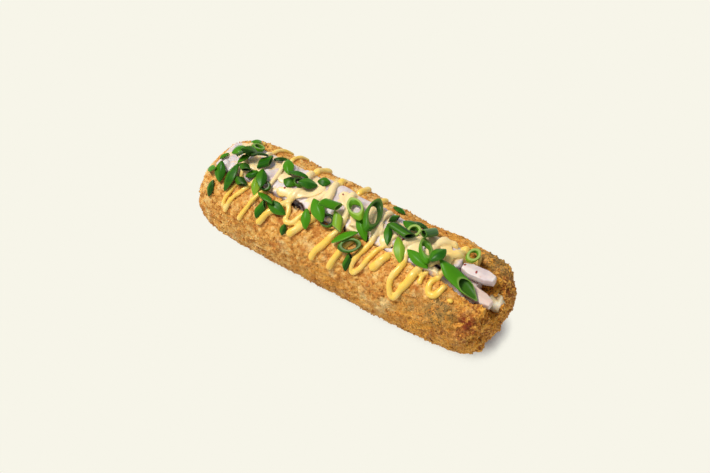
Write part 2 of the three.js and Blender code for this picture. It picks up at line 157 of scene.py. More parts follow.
# %% Objects from points and faces
def new_object(name, points, faces, material=None):
    """An object from points in millimetres. Its place is in its mesh."""
    mesh = bpy.data.meshes.new(name)
    mesh.from_pydata((np.asarray(points, float) * MM).tolist(), [], faces)
    mesh.validate()
    return object_of(name, mesh, material)


def skin(points, sections, around, closed=False):
    """Points and faces of the skin through closed sections, all with the same number of points.

    The skin is closed in itself, as a ring is, or has a flat cap at each end."""
    faces = []
    for section in range(sections if closed else sections - 1):
        a, b = section * around, (section + 1) % sections * around
        for i in range(around):
            j = (i + 1) % around
            faces.append((a + i, b + i, b + j, a + j))
    if not closed:
        last = (sections - 1) * around
        faces += [tuple(range(around)), tuple(range(last + around - 1, last - 1, -1))]
    return np.asarray(points, float), faces


def object_of(name, mesh, material=None):
    """An object that shows a mesh, smooth shaded."""
    mesh.name = name
    piece = bpy.data.objects.new(name, mesh)
    bpy.context.scene.collection.objects.link(piece)
    dress(mesh, material)
    return piece


def dress(mesh, material=None):
    """Shades a mesh smooth, and makes the material its only one."""
    if material:
        mesh.materials.clear()
        mesh.materials.append(material)
    mesh.shade_smooth()


def merged(name, *pieces):
    """One object with the faces of several, which stay as they are."""
    whole = bmesh.new()
    for piece in pieces:
        whole.from_mesh(piece.data)
    mesh = bpy.data.meshes.new(name)
    whole.to_mesh(mesh)
    whole.free()
    return object_of(name, mesh)


print("a tube of 3 sections has", len(skin(np.zeros((12, 3)), 3, 4)[1]), "faces with its caps")

# %% Modifiers, joins and cuts
# This solver is fast, and it keeps closed solids closed
SOLVER = "MANIFOLD"


def evaluated_mesh(piece):
    """A plain mesh of what an object's modifiers make of it."""
    graph = bpy.context.evaluated_depsgraph_get()
    return bpy.data.meshes.new_from_object(piece.evaluated_get(graph), depsgraph=graph)


def modified(piece, *steps):
    """Applies modifiers, each a kind and its settings, and gives the object the result as its mesh."""
    for kind, settings in steps:
        modifier = piece.modifiers.new(kind, kind)
        for name, value in settings.items():
            setattr(modifier, name, value)
    mesh = evaluated_mesh(piece)
    piece.modifiers.clear()
    old = piece.data
    piece.data = mesh
    bpy.data.meshes.remove(old)
    return piece


def combine(piece, operation, *tools):
    """Joins solids to a piece, takes them out of it or keeps only what they share. Removes them."""
    for tool in tools:
        modified(piece, ("BOOLEAN", {"operation": operation, "solver": SOLVER, "object": tool}))
        bpy.data.objects.remove(tool)
    return piece


def softened(piece, grid, rounds):
    """Remeshes a piece on an even grid of so many mm, and smooths it so many times."""
    return modified(piece, ("REMESH", {"mode": "VOXEL", "voxel_size": grid * MM}),
                    ("SMOOTH", {"factor": 0.5, "iterations": rounds}))


print("solids are joined and cut by the solver", SOLVER)

# %% Points and values of a mesh
def points_of(mesh):
    """The mesh's points in millimetres, one row for each."""
    flat = np.zeros(len(mesh.vertices) * 3)
    mesh.vertices.foreach_get("co", flat)
    return flat.reshape(-1, 3) / MM


def put_points(mesh, points):
    """Moves the mesh's points to places in millimetres."""
    mesh.vertices.foreach_set("co", (points * MM).ravel())
    mesh.update()


def put_values(mesh, name, values):
    """Stores one number for each point of the mesh, for a material or a node tree to read."""
    layer = mesh.attributes.get(name) or mesh.attributes.new(name, "FLOAT", "POINT")
    layer.data.foreach_set("value", np.asarray(values, np.float32))


print("a mesh's points are read in steps of", 1 / MM, "to the metre")

# %% Handing over a finished piece
def show(piece, slot, *nodes):
    """Lets a finished piece ride on the body and stand for its CAD nodes. Its slot is not used."""
    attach(piece, "root")
    if nodes:
        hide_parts(*nodes)
    piece.data.calc_loop_triangles()
    print(f"{piece.name}: {len(piece.data.loop_triangles)} triangles")


# %% Beginning, ending and running a Geometry Nodes tree
def new_tree(name, inputs):
    """A Geometry Nodes tree with a named input for each size. Returns it and its input node."""
    tree = bpy.data.node_groups.new(name, "GeometryNodeTree")
    tree.interface.new_socket("Geometry", in_out="INPUT", socket_type="NodeSocketGeometry")
    for label, kind in inputs.items():
        tree.interface.new_socket(label, in_out="INPUT", socket_type="NodeSocket" + kind)
    tree.interface.new_socket("Geometry", in_out="OUTPUT", socket_type="NodeSocketGeometry")
    return tree, add(tree, "NodeGroupInput").outputs


def end_tree(tree, geometry, material):
    """Ends a tree: instances become real mesh, and all of it gets the material."""
    real = add(tree, "GeometryNodeRealizeInstances", {"Geometry": geometry})
    smooth = add(tree, "GeometryNodeSetShadeSmooth", {"Geometry": real})
    dressed = add(tree, "GeometryNodeSetMaterial", {"Geometry": smooth, "Material": material})
    add(tree, "NodeGroupOutput", {"Geometry": dressed})


def grown(name, piece, tree, values):
    """Runs a tree on an object with the given inputs, and returns the result as a plain object."""
    modifier = piece.modifiers.new(tree.name, "NODES")
    modifier.node_group = tree
    for item in tree.interface.items_tree:
        if item.in_out == "INPUT" and item.name in values:
            modifier[item.identifier] = values[item.name]
    mesh = evaluated_mesh(piece)
    piece.modifiers.remove(modifier)
    return object_of(name, mesh)


print("the trees are built in Blender", bpy.app.version_string)

# %% [markdown]
# ## The roll's form
# The real roll was pressed in a mat, so its section lies between an ellipse and a box: a
# superellipse. The ends close with the same kind of curve, only steeper, and three waves of
# different lengths make the roll uneven. It could be sculpted from a cylinder, but these formulas
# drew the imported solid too, so this crust covers exactly that one, only with many more points.

# %% Sizes of the roll, in millimetres
ROLL_LENGTH = 194
ROLL_WIDTH = 59.6
ROLL_HEIGHT = 54
CRUST_THICKNESS = 3.6

# How much of the section's foot is pressed flat
PRESSED_FLAT = 0.9

# The powers of the two curves: 2 is an ellipse, and a high power is nearly a box
SECTION_POWER = 2.35
END_POWER = 6

# How far the near end leans in at its foot, and how obliquely the far end is cut
NEAR_TUCK = 3.5
FAR_SKEW = 3

# The space that is left between two pieces
GAP = 0.3

HALF_LENGTH = ROLL_LENGTH / 2
HALF_WIDTH = ROLL_WIDTH / 2
HALF_HEIGHT = (ROLL_HEIGHT + PRESSED_FLAT) / 2
MIDDLE_HEIGHT = ROLL_HEIGHT - HALF_HEIGHT
print("the roll is", ROLL_LENGTH, "by", ROLL_WIDTH, "by", ROLL_HEIGHT, "mm")

# %% Formulas of the section and of the ends
def uneven(index, channel):
    """A repeatable uneven number from -1 to 1 for piece number index and quality number channel."""
    wave = np.sin(index * 12.9898 + channel * 78.233) * 43758.5453
    return 2 * (wave - np.floor(wave)) - 1


def ease(value, start, end):
    """Goes smoothly from 0 to 1 as value goes from start to end."""
    share = np.clip((value - start) / (end - start), 0, 1)
    return share * share * (3 - 2 * share)


# The heights of the three waves, and how many mm along the roll each takes for one radian
WAVE_HEIGHTS = {"long": 0.55, "short": 0.4, "around": 0.35}
WAVE_RUNS = {"long": 12.5, "short": 5.1, "around": 19}

# What is left of the waves on the underside, the cosines of the angle from the top between which
# they wear down to that, and those between which they end at the foot
WORN = 0.15
WORN_RUN = (-0.6, 0.3)
FOOT_RUN = (-0.99, -0.9)


def lump(x, angle):
    """How far the crust stands out or in, worn smooth towards the pressed underside."""
    worn = WORN + (1 - WORN) * ease(np.cos(angle), *WORN_RUN)
    long = WAVE_HEIGHTS["long"] * np.sin(x / WAVE_RUNS["long"] + 1.9 * np.sin(angle) + 0.6)
    short = WAVE_HEIGHTS["short"] * np.sin(x / WAVE_RUNS["short"] - 2.2 * angle)
    around = WAVE_HEIGHTS["around"] * np.sin(3 * angle + x / WAVE_RUNS["around"] + 1.1)
    return worn * (long + short + around) * ease(np.cos(angle), *FOOT_RUN)


def section_radius(angle, inset):
    """The roll's half thickness at an angle from the top, with its skin moved in by inset."""
    across = np.abs(np.sin(angle)) / (HALF_WIDTH - inset)
    upward = np.abs(np.cos(angle)) / (HALF_HEIGHT - inset)
    return (across ** SECTION_POWER + upward ** SECTION_POWER) ** (-1 / SECTION_POWER)


def end_scale(x, inset):
    """How large the section is, as a share, where the roll closes towards its ends."""
    share = np.minimum(np.abs(x) / (HALF_LENGTH - inset), 1)
    return (1 - share ** END_POWER) ** (1 / END_POWER)


# Where the ends begin to lean, as a share of the half length
LEAN_FROM = 0.6


def lean_ends(points):
    """The near end leans in at its foot, and the far end is cut a little obliquely."""
    x, y, z = points.T
    near = ease(x, LEAN_FROM * HALF_LENGTH, HALF_LENGTH)
    far = ease(-x, LEAN_FROM * HALF_LENGTH, HALF_LENGTH)
    x = x - near * NEAR_TUCK * np.maximum(1 - z / MIDDLE_HEIGHT, 0)
    x = x + far * FAR_SKEW * np.maximum(y / HALF_WIDTH, 0)
    return np.column_stack([x, y, z])


print("the section is", round(float(2 * section_radius(np.pi / 2, 0)), 1), "mm wide")

# %% The closed roll and the height of its top
# How small the section is at the flat cap of an end, and how closely the rings crowd there
CAP_SCALE = 0.25
CROWDING = 1.35

# The sides and rings of the roll that shows, of the one that trims the rice, and of the hidden ones
FINE_ROLL = (200, 150)
MIDDLE_ROLL = (96, 80)
COARSE_ROLL = (64, 50)

# How often the search for a height halves the angle that is left
HALVINGS = 24


def roll_shell(inset, sides, rings):
    """Points and faces of the closed roll, moved in by inset. The angle starts at the top."""
    rim = (1 - CAP_SCALE ** END_POWER) ** (1 / END_POWER)
    station = np.linspace(-1, 1, rings + 1)
    share = rim * (1 - (1 - np.abs(station)) ** CROWDING)
    along = np.sign(station) * share * (HALF_LENGTH - inset)
    x, angle = np.meshgrid(along, np.linspace(0, 2 * np.pi, sides, endpoint=False), indexing="ij")
    radius = section_radius(angle, inset) * end_scale(x, inset) + lump(x, angle)
    height = np.maximum(MIDDLE_HEIGHT + radius * np.cos(angle), inset)
    rim_points = np.column_stack([x.ravel(), (radius * np.sin(angle)).ravel(), height.ravel()])
    return skin(lean_ends(rim_points), rings + 1, sides)


def crust_height(x, y):
    """The crust's height above a spot, found by turning the angle until its point is over it."""
    x, y = np.broadcast_arrays(np.asarray(x, float), np.asarray(y, float))
    low, high = np.zeros(x.shape), np.full(x.shape, np.pi / 2)
    for _ in range(HALVINGS):
        angle = (low + high) / 2
        reach = section_radius(angle, 0) * end_scale(x, 0) + lump(x, np.sign(y) * angle)
        short = reach * np.sin(angle) < np.abs(y)
        low, high = np.where(short, angle, low), np.where(short, high, angle)
    reach = section_radius(low, 0) * end_scale(x, 0) + lump(x, np.sign(y) * low)
    return MIDDLE_HEIGHT + reach * np.cos(low)


print("the crust is", round(float(crust_height(0, 10)), 1), "mm high beside its middle")

# %% [markdown]
# ## The slit
# A knife opened the roll along its top, and the filling spread it. It is one trough that runs out
# through both ends, with its floor low at the near end, where the notch shows. A box would cut it
# too, but its walls would be straight. One function with a clearance draws the cutter for the crust,
# the cutter for the rice and the core of the filling, so they fit.

# %% Sizes of the slit, in millimetres
SLIT_HALF_WIDTH = 12.4
SLIT_WALL_TOP = 46

# How high the floor is, and from where to where along the roll it rises to each end
SLIT_FLOOR = {"middle": 27, "near": 31, "far": 43}
FLOOR_RISE = {"near": (60, 92), "far": (66, 92)}

# How much narrower the slit gets at each end, and from where to where
SLIT_NARROWING = {"near": 3.2, "far": 2.4}
NARROWING_RUN = {"near": (76, 95), "far": (78, 94)}

# How far the notch at the near end lies to one side, how far its walls lean, and from where to where
SLIT_NEAR_SHIFT = -2.4
SLIT_NEAR_LEAN = -3.5
SHIFT_RUN = (62, 90)

# The walls' steps from the floor to the lips: their heights and widths as shares
WALL_HEIGHTS = (0, 0.35, 1)
WALL_WIDTHS = (0.28, 0.78, 1)

# Lengths that reach past the roll, so that a cutter runs out through its ends and its top
SLIT_END = 110
ABOVE_ALL = 80
print("the slit is", 2 * SLIT_HALF_WIDTH, "mm wide and its floor is at", SLIT_FLOOR["middle"], "mm")

# %% Formulas of the slit
def slit_floor(x):
    """The height of the slit's floor."""
    near_rise = (SLIT_FLOOR["near"] - SLIT_FLOOR["middle"]) * ease(x, *FLOOR_RISE["near"])
    far_rise = (SLIT_FLOOR["far"] - SLIT_FLOOR["middle"]) * ease(-x, *FLOOR_RISE["far"])
    return SLIT_FLOOR["middle"] + near_rise + far_rise


def slit_reach(x):
    """Half the slit's width at its lips."""
    near = SLIT_NARROWING["near"] * ease(x, *NARROWING_RUN["near"])
    far = SLIT_NARROWING["far"] * ease(-x, *NARROWING_RUN["far"])
    return SLIT_HALF_WIDTH - near - far


def slit_middle(x, height):
    """The slit's middle at a height from 0 at its floor to 1 at its lips."""
    return (SLIT_NEAR_SHIFT + SLIT_NEAR_LEAN * (1 - height)) * ease(x, *SHIFT_RUN)


def trough_shell(clearance, start, end, top, step=1.0, columns=16):
    """Points and faces of a trough with the slit's walls, up to the height that top gives."""
    stations = np.linspace(start, end, int(round((end - start) / step)) + 1)
    levels = np.linspace(0, 1, 9)
    outline = [(across, 0.0) for across in np.linspace(-1, 1, columns)]
    outline += [(1.0, level) for level in levels[1:]]
    outline += [(across, None) for across in np.linspace(1, -1, columns)]
    outline += [(-1.0, level) for level in levels[:0:-1]]
    points = []
    for across, level in outline[::-1]:
        height = 1.0 if level is None else level
        width = np.interp(height, WALL_HEIGHTS, WALL_WIDTHS)
        y = across * (slit_reach(stations) * width - clearance) + slit_middle(stations, height)
        floor = slit_floor(stations) + clearance
        z = top(stations, across) if level is None else floor + (SLIT_WALL_TOP - floor) * height
        points.append(np.column_stack([stations, y, z + 0 * y]))
    points = np.stack(points, axis=1).reshape(-1, 3)
    return skin(points, len(stations), len(outline))


def above_all(x, across):
    """The top of a trough that cuts: above everything."""
    return np.full(np.shape(x), float(ABOVE_ALL))


print("at the near end the floor is at", slit_floor(HALF_LENGTH), "mm")

# %% [markdown]
# ## The stage, the lights and the camera
# The photograph has a plain cream ground and a soft light from the left. A large pale floor, a sky
# that is brightest at the horizon and one wide sun give the same soft shadows, with a bluish tint
# where only the sky reaches. The camera looks from the photograph's side, from far away through a
# long lens.

# %% The camera
# How far round from the front and how far up it is, its distance and its aim in mm, and its lens
CAMERA_AZIMUTH = math.radians(33.5)
CAMERA_ELEVATION = math.radians(50)
CAMERA_DISTANCE = 1300
CAMERA_AIM = Vector((-2.6, 2.9, 29.2))
CAMERA_LENS = 115.6


def direction_of(azimuth, elevation):
    """The direction from the roll to a camera so far round from the front and so far up."""
    flat = math.cos(elevation)
    return Vector((math.sin(azimuth) * flat, -math.cos(azimuth) * flat, math.sin(elevation)))


def make_camera():
    data = bpy.data.cameras.new("camera")
    data.lens = CAMERA_LENS
    data.clip_start, data.clip_end = 0.05, 50
    camera = bpy.data.objects.new("camera", data)
    bpy.context.scene.collection.objects.link(camera)
    back = direction_of(CAMERA_AZIMUTH, CAMERA_ELEVATION)
    camera.location = (CAMERA_AIM + back * CAMERA_DISTANCE) * MM
    camera.rotation_euler = (-back).to_track_quat("-Z", "Y").to_euler()
    bpy.context.scene.camera = camera


make_camera()
print("camera", [round(v, 3) for v in bpy.context.scene.camera.location])

# %% The sun and the sky
SUN_FROM = Vector((-0.42, -0.28, 1.0))
SUN_STRENGTH = 2.95
SUN_SPREAD = math.radians(16)
SUN_COLOUR = "#FFFAF1"
CREAM = "#F7F5E9"

# The sky's colours above the cream horizon, and how high each one is, as a share of straight up
HORIZON_ENDS = 0.06
SKY_COLOURS = ((0.16, "#93979E"), (0.9, "#A2A8AF"))


def make_sun():
    data = bpy.data.lights.new("sun", "SUN")
    data.energy = SUN_STRENGTH
    data.color = linear(SUN_COLOUR)[:3]
    data.angle = SUN_SPREAD
    sun = bpy.data.objects.new("sun", data)
    bpy.context.scene.collection.objects.link(sun)
    sun.rotation_euler = SUN_FROM.to_track_quat("Z", "Y").to_euler()


def make_sky():
    world = bpy.data.worlds.new("studio")
    world.use_nodes = True
    tree = world.node_tree
    tree.nodes.clear()
    towards = add(tree, "ShaderNodeTexCoord").outputs["Generated"]
    height = add(tree, "ShaderNodeSeparateXYZ", {0: towards}).outputs["Z"]
    ramp = add(tree, "ShaderNodeValToRGB", {"Fac": height})
    stops = ramp.color_ramp.elements
    stops[0].color = stops[1].color = linear(CREAM)
    stops[1].position = HORIZON_ENDS
    for share, colour in SKY_COLOURS:
        stops.new(share).color = linear(colour)
    glow = add(tree, "ShaderNodeBackground", {"Color": ramp})
    add(tree, "ShaderNodeOutputWorld", {"Surface": glow})
    bpy.context.scene.world = world


make_sun()
make_sky()
bpy.context.scene.view_settings.view_transform = "Standard"
print("the sun is", round(math.degrees(SUN_SPREAD)), "degrees wide, for soft shadows")

# %% The floor
FLOOR_REACH = 4000

# The shade that the roll gives the floor: in which direction the floor looks, how many mm far, and
# how open it is there where the shade ends and where the board is fully bright
UNDER_ROLL = ((0, 0, 1), 2.5, 0.3, 0.8)
BESIDE_ROLL = ((-1, -0.7, 0.1), 12, 0.58, 0.86)


def open_share(tree, towards, reach, start, end):
    """How open the floor is towards a direction, within so many mm: 0 is shade and 1 is open."""
    normal = add(tree, "ShaderNodeCombineXYZ", dict(zip("XYZ", towards)))
    space = add(tree, "ShaderNodeAmbientOcclusion", {"Distance": reach * MM, "Normal": normal},
                samples=12)
    feeds = {"Value": space.outputs["AO"], "From Min": start, "From Max": end}
    return add(tree, "ShaderNodeMapRange", feeds, interpolation_type="SMOOTHSTEP")


def make_floor():
    """A board so brightly lit that only the shadow close to the roll shows, as in the photograph."""
    material, tree, shader, _ = new_material("bright_board")
    finish_of(shader, Base_Color=linear("#BFCBDD"), Roughness=0.9, Specular_IOR_Level=0.1)
    under = open_share(tree, *UNDER_ROLL)
    beside = open_share(tree, *BESIDE_ROLL)
    bright = add(tree, "ShaderNodeMath", {0: under, 1: beside}, operation="MINIMUM")
    glow = add(tree, "ShaderNodeEmission", {"Color": linear(CREAM)})
    board = add(tree, "ShaderNodeMixShader", {0: bright, 1: shader, 2: glow})
    tree.links.new(in_use(board.outputs), tree.nodes["Material Output"].inputs["Surface"])
    corners = np.array([(-1, -1, 0), (1, -1, 0), (1, 1, 0), (-1, 1, 0)]) * FLOOR_REACH
    floor = new_object("floor", corners, [(0, 1, 2, 3)], material)


make_floor()
print("the floor is", 2 * FLOOR_REACH * MM, "m wide")

# %% [markdown]
# ## The crumb crust
# The crust is dried bread crumbs fried onto a thin batter. Seen close, it is clumps of 3 to 6 mm,
# crumbs of about 1 to 2 mm on them, and scorched or pale spots. No two crumbs are equally brown, and
# neither are any two sides of the roll: it is golden in front and toasted at the near end. One
# colour with a bump texture would look like painted clay. So the colour starts from single crumbs
# and from clusters of them, and coats of larger patches are laid over it like washes of paint. The
# crust and the loose crumbs on it share these coats, so that they look like one fried coat.

# %% The browns of fried crumbs
# Each crumb's brown, from the darkest to the palest
CRUMB_DARKEST, CRUMB_PALEST = "#A46228", "#F0CC82"
CRUMB_BROWNS = ((0.25, "#C88638"), (0.5, "#DCA04C"), (0.75, "#E8B464"))

# How much of a crumb's brown is its own. The rest it shares with the cluster that it lies in
OWN_BROWN = 0.35

# Painted shade on the walls of the dark gaps beside the filling
PAINTED_GAP_SHADE = "#4A2A1A"


def crumb_colour(tree, place, single):
    """Browned crumbs, from a number for each single crumb and from clusters that browned alike."""
    clustered = patches(tree, place, 3.4, 0.32, 0.68, Detail=3.0, Roughness=0.6)
    browned = add(tree, "ShaderNodeMix", {"Factor": OWN_BROWN, "A": clustered, "B": single})
    ramp = add(tree, "ShaderNodeValToRGB", {"Fac": browned})
    stops = ramp.color_ramp.elements
    stops[0].color, stops[1].color = linear(CRUMB_DARKEST), linear(CRUMB_PALEST)
    for share, colour in CRUMB_BROWNS:
        stops.new(share).color = linear(colour)
    return ramp


print("a crumb is one of", 2 + len(CRUMB_BROWNS), "browns or something between them")

# %% The coats of patches over the crumbs
# Each coat's colour, the part of the crust that it is on, how many mm across its patches are, where
# they start and end in the noise, and the noise's detail. The lowest coat comes first. One whose
# patches are 0 mm across covers all of its part.
BROWNING = [
    # pale and brown clouds all over
    ("#F0D08E", "", 11, 0.54, 0.72, {"Detail": 3.0}),
    ("#B9702A", "", 9, 0.52, 0.72, {"Detail": 3.0, "Roughness": 0.6}),
    # the toasted near end: golden and browner clouds, crisp crumbs and small dark specks
    ("#C2761C", "toasted", 0, 0, 0, {}),
    ("#EEAA3C", "toasted", 8, 0.46, 0.56, {"Detail": 2.0}),
    ("#7E380C", "toasted", 6, 0.54, 0.62, {"Detail": 3.0, "Roughness": 0.6}),
    ("#F0B856", "toasted", 1.2, 0.51, 0.59, {"Detail": 2.0}),
    ("#74400F", "toasted", 1.5, 0.53, 0.61, {"Detail": 4.0, "Roughness": 0.7}),
    # scorched spots, and the seaweed wrapper that shows through as a tint and as specks
    ("#7C300E", "scorched", 3, 0.36, 0.52, {"Detail": 3.0}),
    ("#94743C", "wrapper_near", 3.5, 0.40, 0.62, {"Detail": 3.0}),
    ("#5C4C2C", "wrapper_near", 0.9, 0.52, 0.64, {"Detail": 4.0}),
    # dark spots all over, and painted shade in the gaps
    ("#8A4A1A", "", 2.6, 0.65, 0.74, {"Detail": 3.0, "Roughness": 0.7}),
    (PAINTED_GAP_SHADE, "in_gap", 3, 0.28, 0.52, {"Detail": 2.0}),
]


def browning(tree, place):
    """The coats of the crust and of its loose crumbs, as paint takes them."""
    coats = []
    for colour, part, across, start, end, texture in BROWNING:
        cover = patches(tree, place, across, start, end, **texture) if across else part
        if part and across:
            cover = within(tree, part, cover)
        coats.append((colour, cover))
    return coats


print("over the crumbs lie", len(BROWNING), "coats")

# %% Fried crumb material
CRUMB_SIZE = 1.05

# How far the outline of each crumb wanders, and over how many mm
WANDER = {"by": 1.1, "across": 1.6}

# The roughness of a crumb's own face: how many mm across and how many mm high it is
FACE = {"across": 0.6, "high": 0.4}


def crumb_crust_material():
    """Fried bread crumbs: dry and rough, and each one browned a little differently.

    The cells of a Voronoi texture are the crumbs: each has its own brown and stands out from the
    dark lines between them. A little light goes into them, as into any fried dough."""
    material, tree, shader, place = new_material("fried_bread_crumb")
    wander = add(tree, "ShaderNodeTexNoise",
                 {"Vector": place, "Scale": per(WANDER["across"]), "Detail": 1.0})
    aside = add(tree, "ShaderNodeVectorMath",
                {0: wander.outputs["Color"], 1: (WANDER["by"] * MM,) * 3, 2: place},
                operation="MULTIPLY_ADD")
    crumb = add(tree, "ShaderNodeTexVoronoi", {"Vector": aside, "Scale": per(CRUMB_SIZE)})
    single = add(tree, "ShaderNodeSeparateColor", {"Color": crumb.outputs["Color"]})
    paint(tree, shader, crumb_colour(tree, place, single.outputs["Red"]), browning(tree, place))
    fine = add(tree, "ShaderNodeTexNoise",
               {"Vector": place, "Scale": per(FACE["across"]), "Detail": 3.0})
    height = add(tree, "ShaderNodeMath", {0: crumb.outputs["Distance"], 1: -1.0, 2: fine},
                 operation="MULTIPLY_ADD")
    bump = add(tree, "ShaderNodeBump",
               {"Height": height, "Strength": 0.6, "Distance": FACE["high"] * MM})
    tree.links.new(bump.outputs["Normal"], shader.inputs["Normal"])
    finish_of(shader, Roughness=0.68, Specular_IOR_Level=0.25, Subsurface_Weight=0.1,
              Subsurface_Radius=(1.0, 0.45, 0.15), Subsurface_Scale=1.0 * MM)
    return material


print("in the material a crumb is", CRUMB_SIZE, "mm across")

# %% [markdown]
# ## The crust's relief and body
# The relief of the crumbs catches the light and breaks up the outline. A bump in the material would
# leave the outline smooth, so the relief is real geometry. The body is cut by the slit and remeshed
# to an even grid that rounds its lips. Then a Geometry Nodes tree pushes each point along its normal
# by three sizes of noise: lumps, clumps and crumbs. The lumps rise only at the craggy near end.
# Last, the space for the rice is cut out.

# %% Crumb relief as a node tree
# Each size of relief: how many mm across and how many mm high it is
RELIEF = {"Lump": (10, 15), "Clump": (6, 3), "Crumb": (2.4, 3)}

# The part of the mesh that each size is on
RELIEF_PARTS = {"Lump": "lumpy", "Clump": "rough", "Crumb": "rough"}

# A little above the noise's own middle, so that more of the relief sinks in than stands out
RELIEF_MIDDLE = 0.55


def relief_tree():
    """Pushes each point along its normal by lumps, by clumps and by crumbs."""
    tree, sizes = new_tree("crumb_relief", {
        "Lump size": "Float", "Lump height": "Float", "Clump size": "Float", "Clump height": "Float",
        "Crumb size": "Float", "Crumb height": "Float", "Seed": "Float", "Material": "Material"})
    place = add(tree, "GeometryNodeInputPosition")
    total = 0.0
    for label, part in RELIEF_PARTS.items():
        scale = add(tree, "ShaderNodeMath", {0: 1.0, 1: sizes[label + " size"]}, operation="DIVIDE")
        noise = add(tree, "ShaderNodeTexNoise", {"Vector": place, "W": sizes["Seed"], "Scale": scale,
                                                 "Detail": 1.5, "Roughness": 0.6},
                    noise_dimensions="4D")
        centred = add(tree, "ShaderNodeMath", {0: noise, 1: RELIEF_MIDDLE}, operation="SUBTRACT")
        share = add(tree, "GeometryNodeInputNamedAttribute", {"Name": part}, data_type="FLOAT")
        height = add(tree, "ShaderNodeMath", {0: share, 1: sizes[label + " height"]},
                     operation="MULTIPLY")
        total = add(tree, "ShaderNodeMath", {0: centred, 1: height, 2: total},
                    operation="MULTIPLY_ADD")
    offset = add(tree, "ShaderNodeVectorMath",
                 {0: add(tree, "GeometryNodeInputNormal"), "Scale": total}, operation="SCALE")
    moved = add(tree, "GeometryNodeSetPosition", {"Geometry": sizes["Geometry"], "Offset": offset})
    end_tree(tree, moved, sizes["Material"])
    return tree


print("the relief has", len(RELIEF), "sizes:", RELIEF)

# %% Where the crust is craggy, toasted, scorched or swollen
# Soft round spots on the roll: the middle of each, its radius in mm and its strength
CRAGGY = [((97, -12, 30), 34, 1.0), ((92, 16, 40), 22, 0.9)]
TOASTED = [((104, 0, 30), 56, 0.8), ((60, 30, 40), 50, 0.5),
           ((70, -34, 5), 50, 0.6), ((0, -34, 0), 42, 0.5), ((-97, 0, 25), 18, 0.25)]
SCORCHED = [((88, -26.5, 42), 10, 1.0), ((86, -29, 33), 7, 0.8), ((94, 14, 40), 8, 0.5)]
WRAPPER_NEAR = [((71, -26, 42), 14, 0.9), ((82, 18, 49), 17, 0.9), ((54, -27, 40), 11, 0.5)]

# Spots where the crust stands out, or in where the last number, in mm, is below 0
SWELLS = [((92, -21, 43), 14, 2.6), ((84, 15, 50), 9, 0.8), ((97, -14, 27), 8, -1.2)]


def spots(points, listed):
    """A share from 0 to 1 for each point, from soft round spots: centre, radius and strength."""
    total = np.zeros(len(points))
    for centre, radius, strength in listed:
        away = np.linalg.norm(points - np.array(centre), axis=1) / radius
        total = np.maximum(total, strength * (1 - ease(away, 0.35, 1.0)))
    return total


def middle_line(points):
    """For each point, the point of the roll's middle line that it stands out from."""
    along = np.clip(points[:, 0], -(HALF_LENGTH - HALF_HEIGHT), HALF_LENGTH - HALF_HEIGHT)
    return np.column_stack([along, 0 * along, 0 * along + MIDDLE_HEIGHT])


def swollen(points):
    """The points, moved out or in where the crust has swells."""
    outward = points - middle_line(points)
    outward /= np.linalg.norm(outward, axis=1)[:, None]
    for centre, radius, height in SWELLS:
        points = points + outward * height * spots(points, [(centre, radius, 1.0)])[:, None]
    return points


print("the crust has", len(TOASTED), "toasted and", len(SCORCHED), "scorched spots")

# %% The hollow for the rice
# The crust's thickness beside the slit, and the break in it through which the rice shows
LINING = 2.6
WINDOW = {"centre": (91.0, 3.6, 33.5), "radii": (5.2, 4.2, 5.5)}


def blob_shell(centre, radii, detail=4):
    """Points and faces of an ellipsoid."""
    ball = bmesh.new()
    bmesh.ops.create_icosphere(ball, subdivisions=detail, radius=1)
    points = np.array([v.co[:] for v in ball.verts]) * np.array(radii) + np.array(centre)
    faces = [tuple(v.index for v in face.verts) for face in ball.faces]
    ball.free()
    return points, faces


def make_hollow():
    """The space for the rice: the roll moved in, clear of the slit's lining but for a window."""
    hollow = new_object("hollow", *roll_shell(CRUST_THICKNESS, *COARSE_ROLL))
    wide_slit = new_object("wide_slit", *trough_shell(-LINING, -SLIT_END, SLIT_END, above_all, step=4))
    combine(hollow, "DIFFERENCE", wide_slit)
    window = new_object("window", *blob_shell(WINDOW["centre"], WINDOW["radii"], 3))
    return combine(hollow, "UNION", window)


print("the rice shows through a break", 2 * WINDOW["radii"][0], "mm long")

# %% Crust body
CRUST_GRID = 0.85
CRUST_ROUNDS = 9

# How rough the lining of the slit is, and how much rougher a craggy spot is, against 1 elsewhere
LINING_ROUGHNESS = 0.45
CRAGGY_EXTRA = 0.9

# Past this x, in mm, the lining is as rough as the rest, because it lies open in the notch
NOTCH_FROM = 78

# The lining begins so many mm inside the slit's lips and below this height
LINING_INSIDE = 0.8
LINING_TOP = 50

# From where to where above the table the relief begins
OFF_TABLE = (0.4, 3.0)


def mark_crust(mesh, points):
    """Gives the mesh the numbers that the relief tree and the material read."""
    x, y, z = points.T
    in_slit = (np.abs(y) < slit_reach(x) - LINING_INSIDE) & (z < LINING_TOP)
    craggy = spots(points, CRAGGY)
    off_table = ease(z, *OFF_TABLE)
    lined = in_slit & (x < NOTCH_FROM)
    rough = off_table * np.where(lined, LINING_ROUGHNESS, 1 + CRAGGY_EXTRA * craggy)
    put_values(mesh, "rough", rough)
    put_values(mesh, "lumpy", off_table * craggy)
    put_values(mesh, "toasted", spots(points, TOASTED))
    put_values(mesh, "scorched", spots(points, SCORCHED))
    put_values(mesh, "wrapper_near", spots(points, WRAPPER_NEAR))


